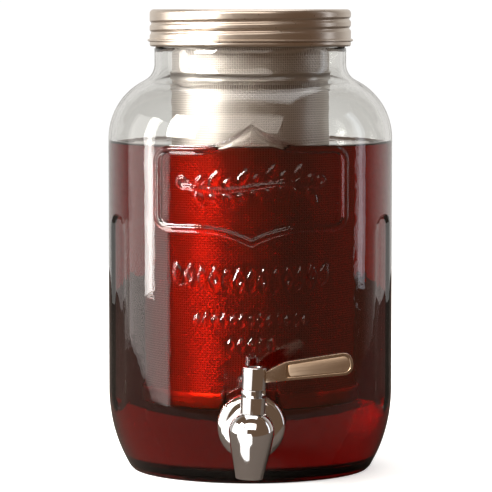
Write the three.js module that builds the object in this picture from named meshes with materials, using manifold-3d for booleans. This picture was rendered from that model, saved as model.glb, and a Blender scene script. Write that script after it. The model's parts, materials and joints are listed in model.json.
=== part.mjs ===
// A one-gallon glass beverage dispenser: a jar with a screw lid, a hanging fruit infuser and a quarter-turn tap.
// Millimetres, +Z up. The jar stands on z = 0 and its tap faces -Y. The origin is the bottom centre of the
// whole object's box, so the jar's own axis stands a little behind it, at y = JAR_AXIS_Y.
import * as THREE from 'three';
import { mergeVertices } from 'three/addons/utils/BufferGeometryUtils.js';
import Module from 'manifold-3d';

const wasm = await Module();
wasm.setup();

// ---- General -------------------------------------------------------------------------------------------------
const GAP = 0.3; // clearance between pieces that touch
const FACETS = 40; // sides of the large round pieces, a multiple of four
const FINE_FACETS = 24; // sides of the tap's round pieces
const SMALL_FACETS = 16; // sides of washers, rings and bores
const OVERRUN = 2; // how far a cutting tool runs past what it cuts

// ---- Glass jar -----------------------------------------------------------------------------------------------
const JAR_HEIGHT = 250.6;
const BODY_R = 79.25;
const NECK_R = 53.5;
const WALL = 3.8;
const BASE_T = 7;
const SHOULDER_R = 36; // convex arc from the body into the shoulder
const NECK_FILLET_R = 10; // concave arc from the shoulder into the neck
const SHOULDER_DROP = 66.1; // from the rim down to where the straight body ends
const HEEL_R = 83; // long arc that narrows the body towards the foot
const HEEL_Z = 44;
const HEEL_CORNER = 1.5;
const BEARING_W = 7; // width of the flat ring that the jar stands on
const PUSH_UP_R = 50;
const PUSH_UP_H = 2.5;
const FINISH_STEP = 0.6; // the threaded finish is this much slimmer than the neck
const RIM_CORNER = 1;

// ---- Screw thread of the mouth and the lid -------------------------------------------------------------------
const THREAD_PITCH = 5.08;
const THREAD_ROUND_R = 1.5; // radius of the round thread section
const THREAD_STEPS = FACETS; // steps in a turn, so that its flats match the wall's
const THREAD_SIDES = 6; // of its section, an even number
const JAR_THREAD_CREST = 0.6; // crest height over the neck
const JAR_THREAD_TURNS = 1.4;
const JAR_THREAD_DROP = 11.2; // start of the thread below the rim
const JAR_THREAD_START_DEG = -63;
const LID_THREAD_TURNS = 1.75;
const LID_THREAD_RISE = 7.3; // start of the grooves above the lid's lower edge
const LID_THREAD_START_DEG = -198;
const LID_GROOVE = 0.9; // depth of the formed groove

// ---- Lid -----------------------------------------------------------------------------------------------------
const LID_WALL = 0.8;
const LID_CLEAR = 2.6; // the skirt's outside beyond the neck
const LID_HEIGHT = 20.6;
const LID_CORNER_R = 2.4;
const LID_BEAD_PROUD = 1.2;
const LID_BEAD_Z = 3.4; // middle of the bead above the lower edge
const LID_BEAD_T = 1.3;
const LID_CURL_T = 1.5; // radial thickness of the rolled lower edge
const LID_CURL_TAPER = 0.5;
const LINER_T = 1.2;
const LINER_CLEAR = 2.8; // liner to the lid's wall

// ---- Plaque and grips moulded into the jar -------------------------------------------------------------------
const PLAQUE_HALF_W = 52.5;
const PLAQUE_DROP = 1.5; // its top edge below the end of the straight body
const PLAQUE_H = 46; // between its straight edges
const PLAQUE_PEAK = 11.7; // rise of the peak above the top edge
const PLAQUE_POINT = 7.4; // drop of the point below the bottom edge
const PLAQUE_PEAK_HALF_W = 29.5;
const PLAQUE_CORNER_R = 8;
const PLAQUE_BORDER = 3.8;
const PLAQUE_RELIEF = 0.9;
const GRIP_DEG = 68; // from the front, on each side
const GRIP_BOTTOM_Z = 35;
const GRIP_DROP = 40.5; // its top below the end of the straight body
const GRIP_W = 22;
const GRIP_DEPTH = 0.9;

// ---- Infuser -------------------------------------------------------------------------------------------------
const SHEET = 0.8;
const INFUSER_CLEAR = 5.8; // the mesh tube's outside to the mouth's wall
const INFUSER_BOTTOM_Z = 38.3;
const CUP_H = 8.7;
const BAND_DROP = 29.6; // the band's top below the rim
const BAND_H = 7.4;
const SEAM_W = 4.5;
const SEAM_T = 0.5;
const FLANGE_T = 1;
const FLANGE_DROP = 8;
const GASKET_T = 1.5;

// ---- Tap, along its shank (distances outward from the jar's axis) --------------------------------------------
const TAP_Z = 33; // height of the shank
const TAP_LEAN_DEG = 3; // the tap stands turned this much about its shank
const TAP_REACH = 24; // valve axis to the jar's wall
const PAD_INSET = 0.7; // the flat pad around the hole is this much smaller than the escutcheon
const PAD_PROUD = 0.05;
const SHANK_R = 7.9;
const SHANK_BORE_R = 4.8;
const SHANK_INSIDE = 11; // how far the shank runs inside the wall's pad
const SHANK_SOCKET = 6; // how far it enters the tap's body
const SHANK_THREAD_PITCH = 2.4;
const SHANK_THREAD_DEPTH = 0.7;
const HOLE_CLEAR = 0.5;
const WASHER_W = 4.6;
const SEAL_T = 1.5;
const METAL_WASHER_T = 1.2;
const NUT_T = 5;
const NUT_WALL = 3.8; // from the nut's hole to its flats
const PLATE_W = 4.9; // the escutcheon's rim beyond the seal
const PLATE_RIM = 1.2;
const PLATE_DOME = 3;

// ---- Tap, along its valve axis (heights from the shank) ------------------------------------------------------
const BULB_PROUD = 2.6; // the bulb is this much rounder than the barrel
const BULB_SHOULDER_DEG = 54; // the bulb is round up to here
const SPOUT_WALL = 1.9;
const SPOUT_BOTTOM = -24.7;
const SPOUT_LIP = 0.8;
const SPOUT_WAIST = [11, -9]; // pulls the curve between the bulb and the lip
const BARREL_WALL = 1.4;
const BARREL_FLARE = 1.4;
const INLET_R = 3.4;
const CHAMBER_FLOOR = -7.5; // the stem's bore ends here and the wider spout bore begins
const STEM_R = 4.2;
const STEM_CLEAR = 0.4;
const PORT_R = 2.5;
const PORT_TOP = 3.2;
const BONNET_WALL = 2.1;
const BONNET_TOP = 22.8;
const NOTCH_DEPTH = 4;
const NOTCH_TO_DEG = 44; // from +X towards the jar
const STOP_DEG = 30; // width of the stop tab on the hub
const STOP_CLEAR_DEG = 2; // left at each end of the quarter turn
const STOP_H = 3.2;
const LEVER_SWING_DEG = 90;
const HUB_INSET = 0.2; // the hub is this much slimmer than the bonnet
const HUB_H = 11.8;
const HUB_SOCKET = 7;
const HUB_CHAMFER = 0.6;
const RING_R = 0.45; // section radius of the o-rings
const RING_UP = 17;
const RING_DOWN = -5.4;
const CLIP_T = 0.9;
const CLIP_LEDGE = 0.4; // how far the clip reaches under the stem's bore
const SCREW_R = 1.6;
const SCREW_HEAD_R = 3.2;
const SCREW_HEAD_T = 1.6;
const SCREW_L = 7;

// ---- Lever ---------------------------------------------------------------------------------------------------
const PADDLE_TILT_DEG = 10.2;
const PADDLE_RISE = 30.7; // where its centre line meets the valve axis
const PADDLE_L = 52.4;
const PADDLE_ROOT = 17.9;
const PADDLE_ROOT_HALF = 5;
const PADDLE_TIP_HALF = 5.9;
const PADDLE_TIP_R = 5.2;
const PADDLE_T = 4.6;
const NECK_HALF_LOW = 4.6;
const NECK_HALF_HIGH = 1;
const PANEL_RIM = 1.5;
const PANEL_DEPTH = 1.1;
const PANEL_T = 0.5;

// ---- Sizes worked out from the ones above --------------------------------------------------------------------
const SHOULDER_Z = JAR_HEIGHT - SHOULDER_DROP;
const PLAQUE_TOP_Z = SHOULDER_Z - PLAQUE_DROP;
const PLAQUE_BOTTOM_Z = PLAQUE_TOP_Z - PLAQUE_H;
const GRIP_TOP_Z = SHOULDER_Z - GRIP_DROP;
const NOTCH_FROM_DEG = NOTCH_TO_DEG - LEVER_SWING_DEG - STOP_DEG - 2 * STOP_CLEAR_DEG;
const VALVE_Y = -(BODY_R + TAP_REACH);
const MOUTH_R = NECK_R - WALL;
const LID_R = NECK_R + LID_CLEAR;
const INFUSER_R = MOUTH_R - INFUSER_CLEAR;
const BAND_TOP_Z = JAR_HEIGHT - BAND_DROP;
const FINISH_R = NECK_R - FINISH_STEP;
const GASKET_Z = JAR_HEIGHT + GAP;
const FLANGE_Z = GASKET_Z + GASKET_T + GAP;
const LINER_Z = FLANGE_Z + FLANGE_T + GAP;
const LID_TOP_Z = LINER_Z + LINER_T + GAP + LID_WALL;
const LID_BOTTOM_Z = LID_TOP_Z - LID_HEIGHT;
const HOLE_R = SHANK_R + HOLE_CLEAR;
const WASHER_R = HOLE_R + WASHER_W;
const PLATE_R = WASHER_R + GAP + PLATE_W;
const PAD_R = PLATE_R - PAD_INSET;
const PAD_OUT = BODY_R + PAD_PROUD;
const PAD_IN = heelRadius(WALL, TAP_Z - WASHER_R) - GAP;
const SEAL_OUT = PAD_OUT + GAP;
const PLATE_OUT = SEAL_OUT + SEAL_T + GAP;
const BARREL_OUT = PLATE_OUT + PLATE_DOME + GAP;
const SOCKET_OUT = BARREL_OUT + SHANK_SOCKET;
const SHANK_END = PAD_IN - SHANK_INSIDE;
const BARREL_R = SHANK_R + GAP + BARREL_WALL;
const BARREL_FLARE_R = BARREL_R + BARREL_FLARE;
const BULB_R = BARREL_R + BULB_PROUD;
const BULB_TOP = BULB_R * Math.sin(THREE.MathUtils.degToRad(BULB_SHOULDER_DEG));
const JAR_AXIS_Y = (TAP_REACH + BULB_R) / 2;
const PLATE_CROWN_R = BARREL_FLARE_R + 2 * GAP;
const BONNET_Z = BULB_TOP + GAP;
const HUB_Z = BONNET_TOP + GAP;
const HUB_TOP = HUB_Z + HUB_H;
const STEM_BORE_R = STEM_R + STEM_CLEAR;
const BONNET_R = STEM_BORE_R + BONNET_WALL;
const HUB_R = BONNET_R - HUB_INSET;
const CLIP_R = STEM_BORE_R + CLIP_LEDGE;
const SPOUT_BORE_R = CLIP_R + CLIP_LEDGE;
const SPOUT_R = SPOUT_BORE_R + SPOUT_WALL;
const STEM_TOP = HUB_Z + HUB_SOCKET;
const CLIP_Z = CHAMBER_FLOOR - GAP - CLIP_T;
const STEM_BOTTOM = CLIP_Z - GAP - CLIP_T;
const RING_CENTRE_R = STEM_BORE_R - GAP - RING_R;
const RING_FLOOR_R = RING_CENTRE_R - RING_R - GAP;
const SCREW_FLOOR = HUB_TOP - SCREW_HEAD_T - 2 * GAP;

// ---- Solids --------------------------------------------------------------------------------------------------
/** Leaves out the triangles that have collapsed to a line or a point. */
function realTriangles(index) {
  const kept = [];
  for (let i = 0; i < index.length; i += 3) {
    const [a, b, c] = [index[i], index[i + 1], index[i + 2]];
    if (a !== b && b !== c && c !== a) kept.push(a, b, c);
  }
  return new Uint32Array(kept);
}

/** Turns a closed geometry into a solid that can be joined and cut. */
function solid(geometry) {
  const bare = geometry.clone();
  bare.deleteAttribute('normal');
  bare.deleteAttribute('uv');
  const merged = mergeVertices(bare);
  const vertProperties = new Float32Array(merged.attributes.position.array);
  const triVerts = realTriangles(merged.index.array);
  return new wasm.Manifold(new wasm.Mesh({ numProp: 3, vertProperties, triVerts }));
}

/** Turns a solid back into a geometry. */
function geometryOf(body) {
  const mesh = body.getMesh();
  const geometry = new THREE.BufferGeometry();
  geometry.setAttribute('position', new THREE.BufferAttribute(new Float32Array(mesh.vertProperties), 3));
  geometry.setIndex(new THREE.BufferAttribute(new Uint32Array(mesh.triVerts), 1));
  geometry.computeVertexNormals();
  return geometry;
}

/** Turns a closed outline of [radius, height] points about the Z axis; it runs up its outer side. */
function turned(points, facets = FACETS) {
  const outline = [...points, points[0]].map(([r, z]) => new THREE.Vector2(r, z));
  return solid(new THREE.LatheGeometry(outline, facets).rotateX(Math.PI / 2));
}

/** A plain round bar along Z between two heights. */
function bar(radius, from, to, facets = SMALL_FACETS) {
  return turned([[0, from], [radius, from], [radius, to], [0, to]], facets);
}

/** A plain ring about Z between two heights. */
function ring(inner, outer, from, to, facets = SMALL_FACETS) {
  return turned([[inner, from], [outer, from], [outer, to], [inner, to]], facets);
}

/** Stands a solid that was made along Z on the shank's line, its height growing outward along -Y. */
const alongShank = (body) => body.rotate([90, 0, 0]);

/** Extrudes a shape drawn in x and z along Y, between two y values. */
function slab(shape, fromY, toY, curveSegments = 8) {
  const depth = toY - fromY;
  const geometry = new THREE.ExtrudeGeometry(shape, { depth, bevelEnabled: false, curveSegments });
  return solid(geometry.rotateX(Math.PI / 2).translate(0, toY, 0));
}

/** Points of an arc about [cx, cz], angles in degrees. */
function arc(cx, cz, radius, fromDeg, toDeg, steps) {
  return Array.from({ length: steps + 1 }, (_, i) => {
    const angle = THREE.MathUtils.degToRad(fromDeg + ((toDeg - fromDeg) * i) / steps);
    return [cx + radius * Math.cos(angle), cz + radius * Math.sin(angle)];
  });
}

/** A right-hand helix about the Z axis. */
class Helix extends THREE.Curve {
  constructor(radius, bottom, pitch, turns, startDeg) {
    super();
    Object.assign(this, { radius, bottom, pitch, turns, start: THREE.MathUtils.degToRad(startDeg) });
  }

  getPoint(t, target = new THREE.Vector3()) {
    const angle = this.start + t * this.turns * 2 * Math.PI;
    const height = this.bottom + t * this.turns * this.pitch;
    return target.set(this.radius * Math.cos(angle), this.radius * Math.sin(angle), height);
  }
}

/** A round cord wound along a helix, which makes a thread or cuts one. */
function coil(helix, sectionRadius, stepsInTurn = THREAD_STEPS) {
  const section = new THREE.Shape();
  section.absarc(0, 0, sectionRadius, 0, 2 * Math.PI);
  const steps = Math.ceil(helix.turns * stepsInTurn);
  const options = { steps, extrudePath: helix, curveSegments: THREAD_SIDES / 2 };
  return solid(new THREE.ExtrudeGeometry(section, options));
}

/** An upright wedge of a ring about Z, between two angles in degrees and two heights. */
function wedge(inner, outer, fromDeg, toDeg, from, to) {
  const [start, end] = [fromDeg, toDeg].map(THREE.MathUtils.degToRad);
  const shape = new THREE.Shape();
  shape.absarc(0, 0, outer, start, end, false);
  shape.absarc(0, 0, inner, end, start, true);
  const options = { depth: to - from, bevelEnabled: false, curveSegments: 10 };
  return solid(new THREE.ExtrudeGeometry(shape, options)).translate([0, 0, from]);
}

// ---- Glass jar -----------------------------------------------------------------------------------------------
/** The jar's side from the heel to the top of the neck fillet, moved inward by a wall or outward by a relief. */
function jarSide(inset, neckR) {
  const shoulderX = BODY_R - SHOULDER_R;
  const reach = SHOULDER_R + NECK_FILLET_R;
  const filletX = NECK_R + NECK_FILLET_R;
  const tangentDeg = THREE.MathUtils.radToDeg(Math.acos((filletX - shoulderX) / reach));
  const filletZ = SHOULDER_Z + reach * Math.sin(THREE.MathUtils.degToRad(tangentDeg));
  const shoulder = arc(shoulderX, SHOULDER_Z, SHOULDER_R - inset, 0, tangentDeg, 5);
  const fillet = arc(filletX, filletZ, NECK_FILLET_R + inset, 180 + tangentDeg, 180, 3);
  fillet[fillet.length - 1][0] = neckR;
  return [...shoulder, ...fillet.slice(1)];
}

/** The heel's radius at a height, inside a wall of the given thickness. */
function heelRadius(inset, z) {
  return BODY_R - HEEL_R + Math.sqrt((HEEL_R - inset) ** 2 - (HEEL_Z - z) ** 2);
}

/** The long arc of the heel from a height up to where the body is straight. */
function heelSide(inset, fromZ) {
  const radius = HEEL_R - inset;
  const fromDeg = -THREE.MathUtils.radToDeg(Math.asin((HEEL_Z - fromZ) / radius));
  return arc(BODY_R - HEEL_R, HEEL_Z, radius, fromDeg, 0, 4);
}

/** The jar's outside, moved outward by a relief, as a closed outline down to the axis. */
function jarOutside(relief = 0) {
  const heel = heelSide(-relief, HEEL_CORNER);
  const foot = heel[0][0] - HEEL_CORNER;
  const finish = FINISH_R + relief;
  const finishZ = LID_BOTTOM_Z - 2 * FINISH_STEP;
  return [
    [0, PUSH_UP_H],
    [PUSH_UP_R, PUSH_UP_H],
    [foot - BEARING_W, 0],
    [foot, 0],
    ...heel,
    ...jarSide(-relief, NECK_R + relief),
    [NECK_R + relief, finishZ],
    [finish, finishZ + FINISH_STEP],
    [finish, JAR_HEIGHT - RIM_CORNER],
    [finish - RIM_CORNER, JAR_HEIGHT],
    [0, JAR_HEIGHT],
  ];
}

/** The space inside the jar, open at the mouth. */
function jarInside() {
  const heel = heelSide(WALL, BASE_T + 3 * HEEL_CORNER);
  const floor = heel[0][0] - 3 * HEEL_CORNER;
  return [
    [0, BASE_T],
    [floor, BASE_T],
    ...heel,
    ...jarSide(WALL, MOUTH_R),
    [MOUTH_R, JAR_HEIGHT + OVERRUN],
    [0, JAR_HEIGHT + OVERRUN],
  ];
}

/** One side of the plaque's border, with a peak in the middle; `up` is 1 for the top and -1 for the bottom. */
function plaqueEdge(shape, x, edgeZ, peakZ, peakHalf, cornerR, up) {
  const side = x * up;
  shape.lineTo(side, edgeZ - up * cornerR);
  shape.quadraticCurveTo(side, edgeZ, side - up * cornerR, edgeZ);
  shape.lineTo(up * peakHalf, edgeZ);
  shape.quadraticCurveTo((up * peakHalf) / 2, edgeZ, 0, peakZ);
  shape.quadraticCurveTo((-up * peakHalf) / 2, edgeZ, -up * peakHalf, edgeZ);
  shape.lineTo(-side + up * cornerR, edgeZ);
  shape.quadraticCurveTo(-side, edgeZ, -side, edgeZ - up * cornerR);
}

/** The plaque's outline, inset by a border. */
function plaqueShape(inset) {
  const halfW = PLAQUE_HALF_W - inset;
  const cornerR = PLAQUE_CORNER_R - inset / 2;
  const [top, bottom] = [PLAQUE_TOP_Z - inset, PLAQUE_BOTTOM_Z + inset];
  const shape = new THREE.Shape();
  shape.moveTo(halfW, bottom + cornerR);
  plaqueEdge(shape, halfW, top, top + PLAQUE_PEAK, PLAQUE_PEAK_HALF_W, cornerR, 1);
  plaqueEdge(shape, halfW, bottom, bottom - PLAQUE_POINT, PLAQUE_PEAK_HALF_W, cornerR, -1);
  shape.closePath();
  return shape;
}

/** The raised border of the plaque on the jar's front. */
function plaqueBorder() {
  const from = -BODY_R - OVERRUN;
  const frame = slab(plaqueShape(0), from, 0);
  const window = slab(plaqueShape(PLAQUE_BORDER), from - OVERRUN, OVERRUN);
  return frame.subtract(window).intersect(turned(jarOutside(PLAQUE_RELIEF)));
}

/** The shallow upright recess for a hand, on the side that `side` (1 or -1) names. */
function grip(side) {
  const half = GRIP_W / 2;
  const shape = new THREE.Shape();
  shape.absarc(0, GRIP_TOP_Z - half, half, 0, Math.PI);
  shape.absarc(0, GRIP_BOTTOM_Z + half, half, Math.PI, 2 * Math.PI);
  const prism = slab(shape, -BODY_R - OVERRUN, -BODY_R / 2, 6);
  const around = turned(jarOutside(-GRIP_DEPTH));
  return prism.rotate([0, 0, side * GRIP_DEG]).subtract(around);
}

/** The thread around the mouth. */
function jarThread() {
  const centre = NECK_R + JAR_THREAD_CREST - THREAD_ROUND_R;
  const bottom = JAR_HEIGHT - JAR_THREAD_DROP;
  return coil(
    new Helix(centre, bottom, THREAD_PITCH, JAR_THREAD_TURNS, JAR_THREAD_START_DEG),
    THREAD_ROUND_R,
  );
}

function glassJar() {
  const pad = alongShank(bar(PAD_R, PAD_IN, PAD_OUT, FINE_FACETS)).translate([0, 0, TAP_Z]);
  const hole = alongShank(bar(HOLE_R, PAD_IN - OVERRUN, PAD_OUT + OVERRUN, SMALL_FACETS));
  return turned(jarOutside())
    .add(plaqueBorder())
    .add(jarThread())
    .subtract(turned(jarInside()))
    .add(pad)
    .subtract(hole.translate([0, 0, TAP_Z]))
    .subtract(grip(1))
    .subtract(grip(-1));
}

// ---- Infuser -------------------------------------------------------------------------------------------------
function infuserGasket() {
  return ring(MOUTH_R - SHEET, FINISH_R, GASKET_Z, GASKET_Z + GASKET_T, FACETS);
}

/** The rim that rests over the mouth, with a sleeve that drops around the mesh. */
function infuserFlange() {
  const sleeve = INFUSER_R + GAP;
  const lip = INFUSER_R - 2 * SHEET;
  const seat = JAR_HEIGHT - FLANGE_DROP;
  return turned([
    [sleeve, seat],
    [sleeve + SHEET, seat],
    [sleeve + SHEET, FLANGE_Z],
    [FINISH_R, FLANGE_Z],
    [FINISH_R, FLANGE_Z + FLANGE_T],
    [lip, FLANGE_Z + FLANGE_T],
    [lip, FLANGE_Z],
    [sleeve, FLANGE_Z],
  ]);
}

/** The wire-mesh tube, as one thin closed wall. */
function infuserMesh() {
  const bottom = INFUSER_BOTTOM_Z + SHEET + GAP;
  return ring(INFUSER_R - SHEET, INFUSER_R, bottom, FLANGE_Z - GAP, FACETS);
}

/** The solid band around the mesh below the neck. */
function infuserBand() {
  const inner = INFUSER_R + GAP;
  return ring(inner, inner + SHEET, BAND_TOP_Z - BAND_H, BAND_TOP_Z, FACETS);
}

/** The strip that covers the mesh's upright seam, between the band and the cup, on the inside. */
function infuserSeam() {
  const outer = INFUSER_R - SHEET - GAP;
  const wall = ring(outer - SEAM_T, outer, INFUSER_BOTTOM_Z + CUP_H, BAND_TOP_Z, FACETS);
  const half = SEAM_W / 2;
  const shape = new THREE.Shape();
  shape.moveTo(-half, 0);
  shape.lineTo(half, 0);
  shape.lineTo(half, JAR_HEIGHT);
  shape.lineTo(-half, JAR_HEIGHT);
  return wall.intersect(slab(shape, -INFUSER_R - OVERRUN, 0));
}

/** The solid cup that closes the bottom of the mesh. */
function infuserCup() {
  const inner = INFUSER_R + GAP;
  const [bottom, top] = [INFUSER_BOTTOM_Z, INFUSER_BOTTOM_Z + CUP_H];
  return turned([
    [0, bottom],
    [inner, bottom],
    [inner + SHEET, bottom + SHEET],
    [inner + SHEET, top],
    [inner, top],
    [inner, bottom + SHEET],
    [0, bottom + SHEET],
  ]);
}

// ---- Lid -----------------------------------------------------------------------------------------------------
function lidLiner() {
  return bar(LID_R - LID_WALL - LINER_CLEAR, LINER_Z, LINER_Z + LINER_T, FACETS);
}

/** The lid's outline before the thread is formed: flat top, straight skirt, bead and rolled lower edge. */
function lidOutline() {
  const [top, bottom] = [LID_TOP_Z, LID_BOTTOM_Z];
  const bead = bottom + LID_BEAD_Z;
  const curlIn = LID_R - LID_CURL_T;
  const inner = LID_R - LID_WALL;
  return [
    [0, top - LID_WALL],
    [inner - LID_CORNER_R, top - LID_WALL],
    [inner, top - LID_WALL - LID_CORNER_R],
    [inner, bead],
    [curlIn, bead - LID_BEAD_T],
    [curlIn, bottom + LID_CURL_TAPER],
    [curlIn + LID_CURL_TAPER / 2, bottom],
    [LID_R - 2 * LID_CURL_TAPER, bottom],
    [LID_R - LID_CURL_TAPER, bottom + LID_CURL_TAPER],
    [LID_R, bead - LID_BEAD_T / 2],
    [LID_R + LID_BEAD_PROUD, bead - LID_BEAD_T / 4],
    [LID_R + LID_BEAD_PROUD, bead + LID_BEAD_T / 4],
    [LID_R, bead + LID_BEAD_T / 2],
    ...arc(LID_R - LID_CORNER_R, top - LID_CORNER_R, LID_CORNER_R, 0, 90, 3),
    [0, top],
  ];
}

/** The lid with its formed thread: a groove outside and the matching ridge inside. */
function lidShell() {
  const bottom = LID_BOTTOM_Z + LID_THREAD_RISE;
  const turn = (radius) => new Helix(radius, bottom, THREAD_PITCH, LID_THREAD_TURNS, LID_THREAD_START_DEG);
  const floor = LID_R - LID_GROOVE;
  const groove = coil(turn(floor + THREAD_ROUND_R), THREAD_ROUND_R);
  const ridge = coil(turn(floor - LID_WALL + THREAD_ROUND_R), THREAD_ROUND_R);
  const within = bar(LID_R - LID_WALL / 2, LID_BOTTOM_Z, LID_TOP_Z - LID_WALL / 2, FACETS);
  return turned(lidOutline()).add(ridge.intersect(within)).subtract(groove);
}

// ---- Tap, along the shank ------------------------------------------------------------------------------------
function tapOuterSeal() {
  return alongShank(ring(HOLE_R, WASHER_R, SEAL_OUT, SEAL_OUT + SEAL_T));
}

/** The domed plate between the tap and the glass; its rim reaches back around the seal. */
function tapEscutcheon() {
  const crown = PLATE_OUT + PLATE_DOME;
  const hollow = WASHER_R + GAP;
  const edge = new THREE.Vector2(PLATE_R, SEAL_OUT + PLATE_RIM);
  const pull = new THREE.Vector2(PLATE_R - PLATE_RIM, crown);
  const dome = new THREE.QuadraticBezierCurve(edge, pull, new THREE.Vector2(PLATE_CROWN_R, crown));
  return alongShank(
    turned(
      [
        [HOLE_R, PLATE_OUT],
        [hollow, PLATE_OUT],
        [hollow, SEAL_OUT],
        [PLATE_R, SEAL_OUT],
        ...dome.getPoints(4).map(({ x, y }) => [x, y]),
        [HOLE_R, crown],
      ],
      FINE_FACETS,
    ),
  );
}

/** The threaded tube that carries the tap through the glass. */
function tapShank() {
  const root = SHANK_R - SHANK_THREAD_DEPTH;
  const threaded = PAD_IN - SHANK_END + HOLE_CLEAR;
  const turns = (threaded - SHANK_THREAD_PITCH) / SHANK_THREAD_PITCH;
  const helix = new Helix(root, SHANK_END + SHANK_THREAD_PITCH / 2, SHANK_THREAD_PITCH, turns, 0);
  const bore = bar(SHANK_BORE_R, SHANK_END - OVERRUN, SOCKET_OUT + OVERRUN);
  const smooth = bar(SHANK_R, SHANK_END + threaded, SOCKET_OUT - GAP);
  const body = bar(root, SHANK_END, SHANK_END + threaded + GAP).add(smooth);
  return alongShank(body.add(coil(helix, SHANK_THREAD_DEPTH, SMALL_FACETS)).subtract(bore));
}

function tapInnerSeal() {
  return alongShank(ring(HOLE_R, WASHER_R, PAD_IN - GAP - SEAL_T, PAD_IN - GAP));
}

function tapWasher() {
  const outer = PAD_IN - 2 * GAP - SEAL_T;
  return alongShank(ring(HOLE_R, WASHER_R, outer - METAL_WASHER_T, outer));
}

function tapLockNut() {
  const outer = PAD_IN - 3 * GAP - SEAL_T - METAL_WASHER_T;
  const corner = (SHANK_R + GAP + NUT_WALL) / Math.cos(Math.PI / 6);
  const hexagon = bar(corner, outer - NUT_T, outer, 6);
  return alongShank(hexagon.subtract(bar(SHANK_R + GAP, outer - NUT_T - OVERRUN, outer + OVERRUN)));
}

/** The tap's body: a bulb that narrows into the spout, on a barrel that comes out of the escutcheon. */
function tapBody() {
  const lip = new THREE.Vector2(SPOUT_R, SPOUT_BOTTOM + SPOUT_LIP);
  const waist = new THREE.Vector2(...SPOUT_WAIST);
  const spout = new THREE.QuadraticBezierCurve(lip, waist, new THREE.Vector2(BULB_R, 0));
  const bulb = turned(
    [
      [0, SPOUT_BOTTOM],
      [SPOUT_R - SPOUT_LIP, SPOUT_BOTTOM],
      ...spout.getPoints(6).map(({ x, y }) => [x, y]),
      ...arc(0, 0, BULB_R, 0, BULB_SHOULDER_DEG, 4).slice(1),
      [0, BULB_TOP],
    ],
    FINE_FACETS,
  ).translate([0, VALVE_Y, 0]);
  const inBulb = -VALVE_Y - BONNET_R - GAP;
  const barrel = turned(
    [[0, BARREL_OUT], [BARREL_FLARE_R, BARREL_OUT], [BARREL_R, SOCKET_OUT], [BARREL_R, inBulb], [0, inBulb]],
    FINE_FACETS,
  );
  const socket = bar(SHANK_R + GAP, BARREL_OUT - OVERRUN, SOCKET_OUT);
  const inlet = bar(INLET_R, SOCKET_OUT - OVERRUN, -VALVE_Y);
  const stemBore = bar(STEM_BORE_R, CHAMBER_FLOOR - OVERRUN, BULB_TOP + OVERRUN);
  const spoutBore = bar(SPOUT_BORE_R, SPOUT_BOTTOM - OVERRUN, CHAMBER_FLOOR);
  return bulb
    .add(alongShank(barrel))
    .subtract(alongShank(socket))
    .subtract(alongShank(inlet))
    .subtract(stemBore.add(spoutBore).translate([0, VALVE_Y, 0]));
}

// ---- Tap, along the valve axis -------------------------------------------------------------------------------
/** The collar on the tap's body, notched so that the lever's stop can swing a quarter turn. */
function tapBonnet() {
  const notchTop = BONNET_TOP + OVERRUN;
  const notchR = BONNET_R + OVERRUN;
  const notch = wedge(STEM_R / 2, notchR, NOTCH_FROM_DEG, NOTCH_TO_DEG, BONNET_TOP - NOTCH_DEPTH, notchTop);
  return ring(STEM_BORE_R, BONNET_R, BONNET_Z, BONNET_TOP, FINE_FACETS).subtract(notch);
}

/** An o-ring around the stem at a height. */
function stemRing(height) {
  return turned(arc(RING_CENTRE_R, height, RING_R, 0, 300, 5), SMALL_FACETS);
}

/** A groove around the stem that holds a ring. */
function stemGroove(floorR, from, to) {
  return ring(floorR, STEM_R + OVERRUN, from, to);
}

/** The valve's stem; its port faces away from the lever, and so faces the jar a quarter turn later. */
function valveStem() {
  const port = bar(PORT_R, STEM_BOTTOM - OVERRUN, PORT_TOP);
  const side = bar(PORT_R, 0, STEM_R + OVERRUN).rotate([0, -90, 0]);
  const tapped = bar(SCREW_R + GAP, STEM_TOP - SCREW_L, STEM_TOP + OVERRUN);
  const half = RING_R + GAP;
  return bar(STEM_R, STEM_BOTTOM, STEM_TOP)
    .subtract(stemGroove(RING_FLOOR_R, RING_UP - half, RING_UP + half))
    .subtract(stemGroove(RING_FLOOR_R, RING_DOWN - half, RING_DOWN + half))
    .subtract(stemGroove(RING_FLOOR_R, CLIP_Z - GAP, CLIP_Z + CLIP_T + GAP))
    .subtract(port)
    .subtract(side)
    .subtract(tapped);
}

/** The retaining ring that keeps the stem from being pulled up out of the body. */
const stemClip = () => ring(RING_FLOOR_R + GAP, CLIP_R, CLIP_Z, CLIP_Z + CLIP_T);

/** The paddle's outline along its own centre line, from inside the hub to the round tip. */
function paddleShape() {
  const straight = PADDLE_L - PADDLE_TIP_R;
  const inner = PADDLE_TIP_HALF - PADDLE_TIP_R;
  const quarter = Math.PI / 2;
  const shape = new THREE.Shape();
  shape.moveTo(HUB_R / 2, -NECK_HALF_LOW);
  shape.lineTo(PADDLE_ROOT, -PADDLE_ROOT_HALF);
  shape.absarc(straight, -inner, PADDLE_TIP_R, -quarter, 0, false);
  shape.absarc(straight, inner, PADDLE_TIP_R, 0, quarter, false);
  shape.lineTo(PADDLE_ROOT, PADDLE_ROOT_HALF);
  shape.quadraticCurveTo(PADDLE_ROOT - PADDLE_ROOT_HALF, PADDLE_ROOT_HALF - NECK_HALF_HIGH, HUB_R, NECK_HALF_HIGH);
  shape.lineTo(HUB_R / 2, NECK_HALF_HIGH);
  shape.closePath();
  return shape;
}

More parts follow.
